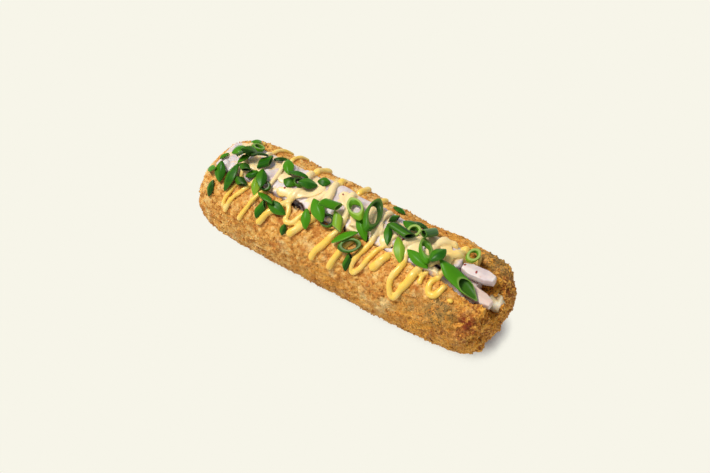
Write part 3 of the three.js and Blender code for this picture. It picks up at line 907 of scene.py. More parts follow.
def make_crust():
    """The crust: cut, softened, marked, given its relief and hollowed out for the rice."""
    material = crumb_crust_material()
    body = new_object("crust_body", *roll_shell(0, *FINE_ROLL), material)
    slit = new_object("slit", *trough_shell(0, -SLIT_END, SLIT_END, above_all, step=2))
    softened(combine(body, "DIFFERENCE", slit), CRUST_GRID, CRUST_ROUNDS)
    points = swollen(points_of(body.data))
    put_points(body.data, points)
    mark_crust(body.data, points)
    values = {"Seed": 3.0, "Material": material}
    for label, (across, high) in RELIEF.items():
        values[label + " size"] = across * MM
        values[label + " height"] = high * MM
    crust = grown("crumb_crust", body, relief_tree(), values)
    bpy.data.objects.remove(body)
    points = points_of(crust.data)
    points[:, 2] = np.maximum(points[:, 2], 0)
    put_points(crust.data, points)
    combine(crust, "DIFFERENCE", make_hollow())
    crust.data.shade_smooth()
    return crust


crust = make_crust()
print("the crust has", len(crust.data.vertices), "points")

# %% [markdown]
# ## Loose crumbs
# Dried bread crumbs are splinters and flakes, 1 to 2 mm long, that stand off the crust at all
# angles and break up its outline. Thousands of them on a surface are work for Geometry Nodes: points
# are strewn over the crust, each gets a small faceted chip with its own turn and size, and a shared
# noise then bends the real meshes so that no two are alike.

# %% Loose crumb material
def loose_crumb_material():
    """Fried bread crumbs, loose: dry and matt, pale gold to dark brown by a number on each one."""
    material, tree, shader, place = new_material("fried_loose_crumb")
    tint = add(tree, "ShaderNodeAttribute", attribute_name="tint")
    paint(tree, shader, crumb_colour(tree, place, tint.outputs["Fac"]), browning(tree, place))
    finish_of(shader, Roughness=0.65, Specular_IOR_Level=0.25)
    return material


loose_crumb = loose_crumb_material()
print("a loose crumb's material has", len(loose_crumb.node_tree.nodes), "nodes")

# %% Crumbs strewn by a node tree
# A chip is a small cube, stretched at random between these two boxes, as shares of its size
CHIP_CUBE = 0.8
CHIP_LEAST = (0.5, 0.35, 0.3)
CHIP_MOST = (1.3, 0.8, 0.7)
FULL_TURN = 6.28

# The noise that bends the chips: how many mm across it is and how many mm it moves a corner
BEND = {"across": 0.8, "by": 0.9}


def crumbs_tree():
    """Strews chips over a mesh, as densely as its value crumby says."""
    tree, sizes = new_tree("loose_crumbs", {
        "Per square metre": "Float", "Smallest": "Float", "Largest": "Float", "Seed": "Int",
        "Material": "Material"})
    crumby = add(tree, "GeometryNodeInputNamedAttribute", {"Name": "crumby"}, data_type="FLOAT")
    density = add(tree, "ShaderNodeMath", {0: sizes["Per square metre"], 1: crumby},
                  operation="MULTIPLY")
    points = add(tree, "GeometryNodeDistributePointsOnFaces",
                 {"Mesh": sizes["Geometry"], "Density": density, "Seed": sizes["Seed"]})
    chip = add(tree, "GeometryNodeMeshCube", {"Size": (CHIP_CUBE,) * 3})
    size = add(tree, "FunctionNodeRandomValue",
               {"Min": sizes["Smallest"], "Max": sizes["Largest"], "Seed": 1}, data_type="FLOAT")
    shape = add(tree, "FunctionNodeRandomValue",
                {"Min": CHIP_LEAST, "Max": CHIP_MOST, "Seed": 2}, data_type="FLOAT_VECTOR")
    scale = add(tree, "ShaderNodeVectorMath", {0: shape, "Scale": size}, operation="SCALE")
    turn = add(tree, "FunctionNodeRandomValue",
               {"Min": (0, 0, 0), "Max": (FULL_TURN,) * 3, "Seed": 3}, data_type="FLOAT_VECTOR")
    strewn = add(tree, "GeometryNodeInstanceOnPoints", {
        "Points": points.outputs["Points"], "Instance": chip, "Rotation": turn, "Scale": scale})
    tint = add(tree, "FunctionNodeRandomValue", {"Seed": 4}, data_type="FLOAT")
    marked = add(tree, "GeometryNodeStoreNamedAttribute",
                 {"Geometry": strewn, "Name": "tint", "Value": tint},
                 data_type="FLOAT", domain="INSTANCE")
    real = add(tree, "GeometryNodeRealizeInstances", {"Geometry": marked})
    place = add(tree, "GeometryNodeInputPosition")
    noise = add(tree, "ShaderNodeTexNoise",
                {"Vector": place, "Scale": per(BEND["across"]), "Detail": 0.0})
    centred = add(tree, "ShaderNodeVectorMath", {0: noise.outputs["Color"], 1: (0.5, 0.5, 0.5)},
                  operation="SUBTRACT")
    offset = add(tree, "ShaderNodeVectorMath", {0: centred, "Scale": BEND["by"] * MM},
                 operation="SCALE")
    bent = add(tree, "GeometryNodeSetPosition", {"Geometry": real, "Offset": offset})
    end_tree(tree, bent, sizes["Material"])
    return tree


print("a chip is at most", round(CHIP_MOST[0] / CHIP_LEAST[2], 1), "times as long as it is thick")

# %% Loose crumbs on the crust
CRUMBS_PER_SQUARE_METRE = 300000.0
SMALLEST_CRUMB = 0.5
LARGEST_CRUMB = 1.5

# The filling keeps crumbs out of the slit up to the first x. From there to the second one the open
# lining has fewer of them than the outside has.
FILLED_TO = 60
LINED_TO = 80
LINING_CRUMBS = 0.5

# From where to where above the table the crumbs begin
CRUMBS_FROM = (1.5, 6)


def make_crumbs():
    """Strews crumbs over the crust, but not under the filling nor where the roll is pressed flat."""
    x, y, z = points_of(crust.data).T
    filled = (np.abs(y) < slit_reach(x) + 0.5) & (x < FILLED_TO)
    lined = (np.abs(y) < slit_reach(x) - 1) & (x < LINED_TO)
    crumby = ease(z, *CRUMBS_FROM) * np.where(filled, 0.0, 1.0) * np.where(lined, LINING_CRUMBS, 1.0)
    put_values(crust.data, "crumby", crumby)
    crumbs = grown("loose_crumbs", crust, crumbs_tree(), {
        "Per square metre": CRUMBS_PER_SQUARE_METRE, "Smallest": SMALLEST_CRUMB * MM,
        "Largest": LARGEST_CRUMB * MM, "Seed": 5, "Material": loose_crumb})
    show(crumbs, "crust")


make_crumbs()

# %% [markdown]
# ## Rice
# Cooked rice is moist, whitish and a little translucent. It fills the whole roll under the crust,
# and shows only through a break in the crust at the near end. So the body is the plain roll moved
# in, cut by the same slit, with a small clump that fills the break. Single grains could be strewn
# there by Geometry Nodes, but they would look loose. The real ones are pressed and glazed by steam
# to one smooth wedge, so here they show only as a low relief in the material.

# %% Rice material
def rice_material():
    """Boiled rice, pressed: an off-white that lets light in, smooth and moist, browned in places."""
    material, tree, shader, place = new_material("cooked_rice")
    paint(tree, shader, "#DCCBA2", [
        ("#EDE4CC", patches(tree, place, 4, 0.4, 0.6)),
        ("#C2944E", patches(tree, place, 6, 0.50, 0.72)),
    ])
    roughen(tree, shader, place, 2.5, 0.2, 0.3)
    finish_of(shader, Roughness=0.35, Subsurface_Weight=0.5, Subsurface_Radius=(1.0, 0.8, 0.5),
              Subsurface_Scale=3 * MM)
    return material


cooked_rice = rice_material()
print("the rice material has", len(cooked_rice.node_tree.nodes), "nodes")

# %% Rice
# How far the clump spreads past the break that it fills, and how deep it stays under the crust
CLUMP_SPREAD = 1.3
CLUMP_DEPTH = 2.0
CLUMP_GRID = 0.3
CLUMP_ROUNDS = 12


def make_rice():
    """The body of rice, and the clump that shows in the break."""
    rice = new_object("rice_body", *roll_shell(CRUST_THICKNESS + GAP, *COARSE_ROLL), cooked_rice)
    wide = trough_shell(-(LINING + GAP), -SLIT_END, SLIT_END, above_all, step=4)
    combine(rice, "DIFFERENCE", new_object("wide_slit", *wide))
    radii = np.array(WINDOW["radii"]) + CLUMP_SPREAD
    clump = new_object("rice_clump", *blob_shell(WINDOW["centre"], radii), cooked_rice)
    slit = new_object("slit", *trough_shell(0, -SLIT_END, SLIT_END, above_all, step=2))
    combine(clump, "DIFFERENCE", slit)
    combine(clump, "INTERSECT", new_object("inside", *roll_shell(CLUMP_DEPTH, *MIDDLE_ROLL)))
    combine(rice, "UNION", softened(clump, CLUMP_GRID, CLUMP_ROUNDS))
    rice.data.materials.clear()
    rice.data.materials.append(cooked_rice)
    show(rice, "rice", "rice")


make_rice()

# %% [markdown]
# ## The chicken
# The slit is heaped with soft white chicken, in chunks and flat flakes with clean breaks, bound by
# sauce. Loose chunks would pass through each other, so the heap is a smooth core with chunks joined
# on. Each chunk is a twenty-sided form with uneven corners, in the same place, size and turn as in
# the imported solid. Joining leaves knife-sharp edges, so the whole heap is remeshed finely and
# smoothed a little, which rounds them as moist meat is rounded. Its fibres are too fine for the
# mesh, so the material gives them.

# %% Chicken material
# The meat's fibres run along the roll. Real ones are about 0.2 mm across, too fine to show here, so
# they are drawn 0.9 mm across, and four times as long as that.
FIBRE_WIDTH = 0.9
ALONG_FIBRES = (0.25, 1, 1)


def chicken_material():
    """Boiled chicken: pale, faintly pink and lilac, moist, with cream where sauce has run over it."""
    material, tree, shader, place = new_material("cooked_chicken")
    sauced = within(tree, "sauced", patches(tree, place, 11, 0.49, 0.57, Detail=2.0, Distortion=0.6))
    paint(tree, shader, "#CFC0C3", [
        # whiter and flushed patches
        ("#E0D3D0", patches(tree, place, 7, 0.35, 0.65)),
        ("#CFA79A", patches(tree, place, 5, 0.60, 0.78, Detail=3.0, Roughness=0.6)),
        # the tan of the two strips, sauce that soaked in, and painted shade in the gaps
        ("#D9BAA8", "tanned"),
        ("#F3D6A2", sauced),
        (PAINTED_GAP_SHADE, within(tree, "in_gap", patches(tree, place, 3, 0.28, 0.52, Detail=2.0))),
    ])
    fibres = add(tree, "ShaderNodeMapping", {"Vector": place, "Scale": ALONG_FIBRES})
    roughen(tree, shader, fibres, FIBRE_WIDTH, 0.25, 0.35, Detail=3.0, Roughness=0.6)
    finish_of(shader, Roughness=0.42, Subsurface_Weight=0.3, Subsurface_Radius=(1.0, 0.65, 0.5),
              Subsurface_Scale=2 * MM)
    return material


chicken = chicken_material()
print("the chicken material has", len(chicken.node_tree.nodes), "nodes")

# %% The top of the heap
# How high the heap stands above the slit's lips, and how much higher along its middle
HEAP_ABOVE_LIP = 0.9
HEAP_CROWN = 3
HEAP_FAR_END = -90
HEAP_NEAR_END = 80

# From where to where the crown flattens at the far end, and the heap sinks at the near end. There it
# sinks by so many mm in the middle, and by so much more or less at its two sides.
CROWN_ENDS = (82, 94)
SINK_RUN = (60, 72)
HEAP_SINK = {"middle": 11.5, "lean": 2}


def heap_top(x, across):
    """The heap's height, at a share across from -1 to 1."""
    crown = HEAP_CROWN * (1 - across ** 2) * (1 - ease(-x, *CROWN_ENDS))
    sink = ease(x, *SINK_RUN) * (HEAP_SINK["middle"] - HEAP_SINK["lean"] * across)
    return crust_height(x, slit_reach(x)) + HEAP_ABOVE_LIP + crown - sink


print("the heap's middle is", round(float(heap_top(0, 0)), 1), "mm high")

# %% One rough chunk
CHUNK_COUNT = 24
CHUNK_ROW = {"from": -82, "to": 62, "across": 0.5}
CHUNK_SIZE = np.array([15, 10, 6])
CHUNK_SUNK = 1.9

# How far a chunk turns at most about each axis, in degrees
CHUNK_TURNS = {"Z": 50, "Y": 12, "X": 18}

# How far it strays at most: in mm along the heap, as a share across it, and in mm down
CHUNK_STRAY = {"along": 1.8, "across": 0.25, "down": 0.7}

# How far its corners stand out, how much they differ, and how much chunks differ in size
CORNER_REACH = 1.12
CORNER_SPREAD = 0.16
CHUNK_SPREAD = 0.25


def chunk_shell(index):
    """Points and faces of one rough chunk. The chunks lie in two staggered rows."""
    share = index / (CHUNK_COUNT - 1)
    x = CHUNK_ROW["from"] + (CHUNK_ROW["to"] - CHUNK_ROW["from"]) * share
    x += CHUNK_STRAY["along"] * uneven(index, 1)
    across = (1 if index % 2 else -1) * CHUNK_ROW["across"] + CHUNK_STRAY["across"] * uneven(index, 2)
    points, faces = blob_shell((0, 0, 0), (0.5, 0.5, 0.5), 1)
    corner = np.arange(len(points))
    points = points * (CORNER_REACH + CORNER_SPREAD * uneven(index + 7 * corner, 3))[:, None]
    size = 1 + CHUNK_SPREAD * uneven(index, 4)
    points = points * CHUNK_SIZE * np.array([size, size, 1])
    turn = Matrix.Identity(3)
    for channel, (axis, most) in zip((7, 6, 5), CHUNK_TURNS.items()):
        turn = turn @ Matrix.Rotation(math.radians(most * uneven(index, channel)), 3, axis)
    sunk = CHUNK_SUNK + CHUNK_STRAY["down"] * uneven(index, 8)
    place = np.array([x, across * slit_reach(x), heap_top(x, across) - sunk])
    return points @ np.array(turn).T + place, faces


print("a chunk has", len(chunk_shell(0)[1]), "faces and is about", CHUNK_SIZE[0], "mm long")

# %% The heap in the slit
HEAP_GRID = 0.5
HEAP_ROUNDS = 3

# From which height to which the sauce has soaked in
SAUCED_FROM = (44, 50)

# How much further than the core the chunks stay off the slit's walls
CHUNKS_OFF_WALL = 0.1


def make_filling():
    """The core and its chunks as one softened solid that stays inside the slit's walls."""
    heap = new_object("chicken_heap", *trough_shell(GAP, HEAP_FAR_END, HEAP_NEAR_END, heap_top))
    combine(heap, "UNION", *[new_object("chunk", *chunk_shell(i)) for i in range(CHUNK_COUNT)])
    space = trough_shell(GAP + CHUNKS_OFF_WALL, HEAP_FAR_END, HEAP_NEAR_END, above_all)
    combine(heap, "INTERSECT", new_object("space", *space))
    softened(heap, HEAP_GRID, HEAP_ROUNDS)
    height = points_of(heap.data)[:, 2]
    put_values(heap.data, "sauced", ease(height, *SAUCED_FROM))
    dress(heap.data, chicken)
    return heap


filling = make_filling()
print("the heap has", len(filling.data.vertices), "points")

# %% [markdown]
# ## The sauce
# The sauce is thick, like mayonnaise: it was squeezed to and fro across the roll in ropes 3 to 6 mm
# wide that end in round drops. A curve with a round bevel would float over the crust or sink into
# it. So each rope is a curve drawn flat over the roll, and a Geometry Nodes tree casts every point
# of it down onto the crust and the chicken, evens out the heights, as a thick rope bridges small
# dips, and sweeps a flattened profile along it, turned with the surface below. The ropes are then
# remeshed as one, which melts them together where they meet.

# %% Sauce material
def sauce_material():
    """Thick egg sauce: smooth, wet and glossy, golden where thick, and cream over the chicken."""
    material, tree, shader, place = new_material("thick_sauce")
    paint(tree, shader, "#F5CB58", [
        ("#F4D37C", patches(tree, place, 9, 0.45, 0.7)),
        ("#FADEA6", "pale"),
    ])
    finish_of(shader, Roughness=0.3, Specular_IOR_Level=0.45, Subsurface_Weight=0.2,
              Subsurface_Radius=(1.0, 0.7, 0.35), Subsurface_Scale=1.5 * MM)
    return material


sauce = sauce_material()
print("the sauce material has", len(sauce.node_tree.nodes), "nodes")

# %% Routes of the ropes and smears
# Each rope's width, and the places that it runs through, as X and Y in millimetres
ROPES = [
    [2.6, [[-72, -29], [-74, -25], [-72, -20], [-70, -15], [-72, -6], [-77, 2], [-78, 11], [-75, 20]]],
    [2.8, [[-72, -28], [-69, -23], [-65, -18], [-62, -12], [-62, -2], [-66, 9], [-65, 18], [-60, 26]]],
    [2.8, [[-62, -29], [-59, -26], [-56, -20], [-52, -10], [-52, 2], [-54, 12], [-53, 20], [-49, 26]]],
    [4.2, [[-49, -28], [-47, -25], [-43, -20], [-37, -12], [-35, -2], [-37, 8], [-37, 17], [-34, 26]]],
    [3.4, [[-37, -13], [-34, -17], [-33, -22], [-30, -22], [-26, -16], [-22, -8], [-20, 3]]],
    [4.4, [[-29, -27], [-25, -22], [-20, -15], [-17, -4], [-20, 8], [-21, 20]]],
    [4.0, [[-12, -29], [-10, -26], [-6, -21], [-2, -12], [-4, -2], [-8, 8], [-7, 17], [-7, 25]]],
    [3.8, [[0, -29], [3, -25], [6, -19], [10, -10], [8, 2], [6, 13], [7, 22]]],
    [3.2, [[17, 13], [16, 4], [18, -6], [18, -15], [15, -21], [14, -26], [18, -26]]],
    [3.2, [[15, -27], [19, -25], [22, -19], [26, -10], [30, 0]]],
    [5.0, [[24, -24], [28, -20], [32, -12], [37, -3], [43, 5]]],
    [3.8, [[38, -6], [41, -14], [40, -20], [39, -25], [43, -28], [46, -25], [48, -19]]],
    [4.8, [[45, -26], [48, -21], [50, -12], [50, -2], [52, 7], [54, 15]]],
    [3.2, [[55, -21], [54, -16], [56, -8], [60, -1]]],
    [3.8, [[66, 14], [62, 5], [62, -5], [62, -12], [60, -17], [62, -21], [66, -20], [68, -15],
           [69, -8]]],
    [5.0, [[50, 4], [55, 9], [61, 12], [67, 15]]],
    [4.6, [[58, -2], [64, 5], [70, 9], [76, 13]]],
    [4.6, [[74, -17], [75, -21]]],
]

# Broad thin smears of sauce on the chicken, where ropes have sunk and spread, given in the same way
SMEARS = [
    [8.0, [[-68, -8], [-66, -2], [-60, 4]]],
    [6.5, [[-47, -12], [-41, -9], [-34, -7], [-27, -1], [-24, 6]]],
    [7.0, [[-50, -6], [-45, 0], [-40, 6]]],
    [7.5, [[-14, 8], [-10, 4], [-5, -2]]],
    [8.0, [[8, 8], [12, 3], [16, -3], [20, -9]]],
    [9.0, [[22, 2], [26, -5], [24, -12]]],
    [8.0, [[36, 4], [40, -2], [46, -8]]],
    [7.5, [[52, 8], [58, 4], [60, -4]]],
    [8.0, [[66, 10], [70, 8], [74, 6]]],
]


def route_curves(listed):
    """Routes as smooth curves at height 0. A point's radius carries half of the rope's width."""
    data = bpy.data.curves.new("routes", "CURVE")
    data.dimensions = "3D"
    for width, route in listed:
        spline = data.splines.new("BEZIER")
        spline.bezier_points.add(len(route) - 1)
        for point, (x, y) in zip(spline.bezier_points, route):
            point.co = Vector((x, y, 0)) * MM
            point.handle_left_type = point.handle_right_type = "AUTO"
            point.radius = width / 2 * MM
    routes = bpy.data.objects.new("routes", data)
    bpy.context.scene.collection.objects.link(routes)
    return routes


print("the sauce has", len(ROPES), "ropes and", len(SMEARS), "smears")

# %% A node tree that lays ropes on a surface
# How often the heights of a rope and its tilt are evened out along it
EVENING = {"height": 3, "tilt": 6}

# Over how many mm a rope's width changes, and how many sides its section has
SWELL_LENGTH = 7
ROPE_SIDES = 14


def rounded_ends(tree, radius):
    """A share that falls in a quarter circle to 0 over the last radius of a curve, at both ends."""
    gone = add(tree, "GeometryNodeSplineParameter").outputs["Length"]
    whole = add(tree, "GeometryNodeSplineLength").outputs["Length"]
    left = add(tree, "ShaderNodeMath", {0: whole, 1: gone}, operation="SUBTRACT")
    nearer = add(tree, "ShaderNodeMath", {0: gone, 1: left}, operation="MINIMUM")
    short = add(tree, "ShaderNodeMath", {0: nearer, 1: radius}, operation="DIVIDE")
    short = add(tree, "ShaderNodeMath", {0: 1.0, 1: short}, operation="SUBTRACT", use_clamp=True)
    square = add(tree, "ShaderNodeMath", {0: short, 1: short}, operation="MULTIPLY")
    rest = add(tree, "ShaderNodeMath", {0: 1.0, 1: square}, operation="SUBTRACT")
    return add(tree, "ShaderNodeMath", {0: rest}, operation="SQRT")


def ropes_tree():
    """Drops curves onto a surface and sweeps a flattened round profile along them."""
    tree, sizes = new_tree("sauce_ropes", {
        "Surface": "Object", "Step": "Float", "Flatness": "Float", "Lift": "Float",
        "Unevenness": "Float", "Material": "Material"})
    fine = add(tree, "GeometryNodeResampleCurve",
               {"Curve": sizes["Geometry"], "Length": sizes["Step"]}, mode="LENGTH")
    below = add(tree, "GeometryNodeObjectInfo", {"Object": sizes["Surface"]},
                transform_space="RELATIVE")
    place = add(tree, "GeometryNodeInputPosition")
    high = add(tree, "ShaderNodeVectorMath", {0: place, 1: (0, 0, ABOVE_ALL * MM)}, operation="ADD")
    cast = add(tree, "GeometryNodeRaycast", {
        "Target Geometry": below.outputs["Geometry"], "Source Position": high,
        "Ray Direction": (0, 0, -1), "Ray Length": ABOVE_ALL * MM})
    evened = add(tree, "GeometryNodeBlurAttribute",
                 {"Value": cast.outputs["Hit Position"], "Iterations": EVENING["height"]},
                 data_type="FLOAT_VECTOR")
    normal = add(tree, "GeometryNodeBlurAttribute",
                 {"Value": cast.outputs["Hit Normal"], "Iterations": EVENING["tilt"]},
                 data_type="FLOAT_VECTOR")
    lift = add(tree, "ShaderNodeVectorMath", {0: normal, "Scale": sizes["Lift"]}, operation="SCALE")
    target = add(tree, "ShaderNodeVectorMath", {0: evened, 1: lift}, operation="ADD")
    turned = add(tree, "GeometryNodeSetCurveNormal", {"Curve": fine, "Normal": normal}, mode="FREE")
    laid = add(tree, "GeometryNodeSetPosition", {"Geometry": turned, "Position": target})
    noise = add(tree, "ShaderNodeTexNoise",
                {"Vector": place, "Scale": per(SWELL_LENGTH), "Detail": 1.0})
    swell = add(tree, "ShaderNodeMath", {0: noise, 1: 0.5}, operation="SUBTRACT")
    swell = add(tree, "ShaderNodeMath", {0: swell, 1: sizes["Unevenness"], 2: 1.0},
                operation="MULTIPLY_ADD")
    radius = add(tree, "GeometryNodeInputRadius")
    scale = add(tree, "ShaderNodeMath", {0: swell, 1: radius}, operation="MULTIPLY")
    scale = add(tree, "ShaderNodeMath", {0: scale, 1: rounded_ends(tree, radius)}, operation="MULTIPLY")
    circle = add(tree, "GeometryNodeCurvePrimitiveCircle", {"Resolution": ROPE_SIDES, "Radius": 1.0})
    shape = add(tree, "ShaderNodeCombineXYZ", {"X": sizes["Flatness"], "Y": 1.0, "Z": 1.0})
    profile = add(tree, "GeometryNodeTransform", {"Geometry": circle, "Scale": shape})
    swept = add(tree, "GeometryNodeCurveToMesh", {
        "Curve": laid, "Profile Curve": profile, "Scale": scale, "Fill Caps": True})
    end_tree(tree, swept, sizes["Material"])
    return tree


print("a rope's section has", ROPE_SIDES, "sides")

# %% Sauce laid on the roll
# How flat a section is, as a share of its width, and how many mm its middle lies above the ground
ROPE_SECTION = (0.9, 0.8)
SMEAR_SECTION = (0.3, 0.2)
ROPE_STEP = 0.8
SAUCE_GRID = 0.42
SAUCE_ROUNDS = 6

# The sauce is cream over the chicken, fading to gold between these distances from the middle. It is
# less so at the near end, past these places along the roll, where it lies thick.
PALE_FADE = (8, 15)
LESS_PALE_RUN = (50, 62)
LESS_PALE = 0.6


def laid(name, listed, ground, section):
    """Sauce along the listed routes, laid on the ground."""
    flatness, lift = section
    routes = route_curves(listed)
    piece = grown(name, routes, ropes_tree(), {
        "Surface": ground, "Step": ROPE_STEP * MM, "Flatness": flatness, "Lift": lift * MM,
        "Unevenness": 0.5, "Material": sauce})
    bpy.data.objects.remove(routes)
    return piece


def make_sauce():
    """All ropes and smears, melted together into one piece."""
    ground = merged("ground", crust, filling)
    ropes = laid("ropes", ROPES, ground, ROPE_SECTION)
    smears = laid("smears", SMEARS, ground, SMEAR_SECTION)
    drizzle = merged("sauce", ropes, smears)
    for piece in (ground, ropes, smears):
        bpy.data.objects.remove(piece)
    softened(drizzle, SAUCE_GRID, SAUCE_ROUNDS)
    x, y, z = points_of(drizzle.data).T
    over_meat = 1 - ease(np.abs(y), *PALE_FADE)
    put_values(drizzle.data, "pale", over_meat * (1 - LESS_PALE * ease(x, *LESS_PALE_RUN)))
    dress(drizzle.data, sauce)
    show(drizzle, "sauce")
    return drizzle


drizzle = make_sauce()

# %% [markdown]
# ## Dark gaps beside the filling
# Here and there the chicken has drawn back from the lip of the slit, and a short dark gap is left.
# Paint alone would make them look printed on, so each one is an ellipsoid that is cut out of crust
# and chicken, and painted shade darkens its walls. The gaps are cut after the sauce is laid, because a
# rope bridges a gap that it would fall into if the gap were there first. Crust and chicken are final
# only now, so here they take their CAD nodes' places.

# %% Dark gaps beside the filling
# Each gap's middle and its three radii
GAPS = [
    ((-32.5, -11.8, 50), (5.5, 2.0, 6)),
    ((-1.6, -12, 52), (2.4, 1.5, 5)),
    ((14, -11.5, 52), (2.2, 1.4, 5)),
    ((28, -9, 52), (2.6, 1.3, 5)),
    ((39, -10, 54), (2.4, 1.6, 5)),
    ((59, -8, 51), (2.6, 1.5, 5)),
    ((71, -12, 49), (3.0, 1.6, 5)),
]


def cut_gaps(piece):
    """Cuts the gaps out of a piece, and marks their walls for the painted shade of its material."""
    combine(piece, "DIFFERENCE", *[new_object("gap", *blob_shell(*gap, 3)) for gap in GAPS])
    points = points_of(piece.data)
    in_gap = np.zeros(len(points))
    for middle, radii in GAPS:
        away = np.linalg.norm((points - np.array(middle)) / np.array(radii), axis=1)
        in_gap = np.maximum(in_gap, 1 - ease(away, 1.0, 1.3))
    put_values(piece.data, "in_gap", in_gap)


cut_gaps(crust)
cut_gaps(filling)
show(crust, "crust", "crust")
show(filling, "chicken", "chicken_filling")

# %% [markdown]
# ## Laying fine pieces on packed ones
# Each strip and each slice of green onion has its own tilt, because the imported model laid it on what
# is below it. All 57 tilts could be written down, but that would be a long table of numbers. A fine
# piece gets exactly that place in a shorter way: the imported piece's corners come from the same
# formula on a coarse grid, so the rotation and the shift between the two are solved for.

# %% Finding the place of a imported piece
MATCHING_ROUNDS = 40


def corners_of(node):
    """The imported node's corners in millimetres, each once."""
    points = points_of(bpy.data.objects[node].data)
    return np.unique(points.round(3), axis=0)


def placed(local, node, turn):
    """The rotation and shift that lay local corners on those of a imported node.

    It starts from the turn about Z, then in rounds matches each packed corner to the nearest local
    one and solves for the best rotation."""
    target = corners_of(node)
    rotation = np.array(Matrix.Rotation(math.radians(turn), 3, "Z"))
    shift = target.mean(axis=0) - rotation @ local.mean(axis=0)
    for _ in range(MATCHING_ROUNDS):
        moved = local @ rotation.T + shift
        nearest = np.argmin(np.linalg.norm(target[:, None] - moved[None], axis=2), axis=1)
        here, there = local[nearest], target
        spread = (here - here.mean(axis=0)).T @ (there - there.mean(axis=0))
        left, _, right = np.linalg.svd(spread)
        flip = np.diag([1, 1, np.sign(np.linalg.det(right.T @ left.T))])
        rotation = right.T @ flip @ left.T
        shift = there.mean(axis=0) - rotation @ here.mean(axis=0)
    error = np.linalg.norm(target - (local[nearest] @ rotation.T + shift), axis=1).max()
    return rotation, shift, error


print("a packed strip of chicken has", len(corners_of("chicken_strip_1")), "corners")

# %% [markdown]
# ## Two strips of chicken at the near end
# Two long strips lie in the notch with their blunt ends out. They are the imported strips' form, a box
# that tapers to its ends and bulges in the middle. A bevel would give it even edges, as if it were
# moulded, so it is made on a finer grid, remeshed and smoothed, which rounds its edges softly. The
# chicken's material gives it fibres.

# %% The form of a chicken strip
# Each strip's turn in degrees, its three sizes in mm, and how tanned it is, as a share
STRIPS = [
    {"turn": 4, "long": 20, "wide": 8.4, "high": 6, "tanned": 0.15},
    {"turn": -5, "long": 22, "wide": 8.6, "high": 5.2, "tanned": 0.75},
]

# How much narrower a strip is at its ends than in its middle half, and how much its edges give way
STRIP_TAPER = 0.45
STRIP_BULGE = 0.18


def strip_form(points, strip):
    """Bends a 2 by 2 by 2 box, as points along, across and up, into a strip."""
    along, across, up = points.T
    taper = 1 - STRIP_TAPER * np.clip((np.abs(along) - 0.5) / 0.5, 0, 1)
    bulge = 1 - STRIP_BULGE * np.abs(across * up)
    return np.column_stack([along * strip["long"] / 2, across * taper * bulge * strip["wide"] / 2,
                            up * bulge * strip["high"] / 2])


def packed_strip(strip):
    """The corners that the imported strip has."""
    grid = np.meshgrid([-1, -0.5, 0, 0.5, 1], [-1, 0, 1], [-1, 0, 1], indexing="ij")
    return strip_form(np.column_stack([axis.ravel() for axis in grid]), strip)


def fine_strip(strip):
    """Points and faces of the fine strip: the outline of its end, carried along it."""
    side = np.linspace(-1, 1, 9)
    stations = np.linspace(-1, 1, 25)
    around = [(across, -1) for across in side[:-1]] + [(1, up) for up in side[:-1]]
    around += [(across, 1) for across in side[:0:-1]] + [(-1, up) for up in side[:0:-1]]
    points = np.array([(along, across, up) for along in stations for across, up in around])
    return skin(strip_form(points, strip), len(stations), len(around))


print("a fine strip has", len(fine_strip(STRIPS[0])[0]), "points before it is remeshed")

# %% Chicken strips
STRIP_GRID = 0.35
STRIP_ROUNDS = 3


def make_strips():
    """Lays each fine strip exactly over its packed one."""
    for number, strip in enumerate(STRIPS, 1):
        node = f"chicken_strip_{number}"
        rotation, shift, error = placed(packed_strip(strip), node, strip["turn"])
        points, faces = fine_strip(strip)
        piece = new_object(f"strip_{number}", points @ rotation.T + shift, faces)
        softened(piece, STRIP_GRID, STRIP_ROUNDS)
        put_values(piece.data, "tanned", np.full(len(piece.data.vertices), strip["tanned"]))
        dress(piece.data, chicken)
        show(piece, "chicken", node)
        print(f"{node} is matched within {error:.2f} mm")


make_strips()

# %% [markdown]
# ## Green onion
# Green onion was cut obliquely. Its slices are leaves, which are slit and flattened stem, rings,
# tubes and scoops. They could be modelled one by one, but four forms with a length and a width of
# their own make all of them. Each form is a small formula on a grid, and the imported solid's corners
# are the same formula on a coarse grid, so a fine slice can be laid exactly over its packed one.

# %% Sizes of the slices
# The stem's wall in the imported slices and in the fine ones, in mm
WALLS = {"ring": 1.1, "tube": 1.1, "scoop": 0.7}
FINE_WALLS = {"ring": 1.5, "tube": 1.2, "scoop": 0.9}
LEAF_THICKNESS = 0.9

# How flat a slice is pressed, as its height against its width
TUBE_FLATNESS = 0.62
SCOOP_FLATNESS = 0.55

# How obliquely each form is cut, and the share of a scoop's length that is a whole stem
RING_SLANT = 0.45
TUBE_SLANT = 0.7
SCOOP_CORE = 0.5

# How far a fine scoop's mouth sags, and how pointed the ends of a fine scoop and ring are
SQUEEZE = {"scoop": (0.5, 0.6), "ring": (0.5,)}

# A leaf's fold: how high it stands against the width, and how far the ends bend down with the length
LEAF_ARCH = 0.2
LEAF_BEND = 0.05

# How wide a leaf's tips are, as a share of its width, and the two powers of its outline
LEAF_TIP = 0.08
LEAF_CURVE = (1.7, 0.85)

# The least stem that a ring takes, in mm, and how much a longer one takes more, as a share
RING_STEM = (1.6, 0.06)


def stem_height(form, long, wide):
    """The length of stem that a slice takes, along the stem."""
    return {"ring": RING_STEM[0] + RING_STEM[1] * long,
            "tube": long - TUBE_SLANT * wide,
            "scoop": SCOOP_CORE * long}[form]


print("a ring 8 mm long takes", round(stem_height("ring", 8, 7), 1), "mm of stem")

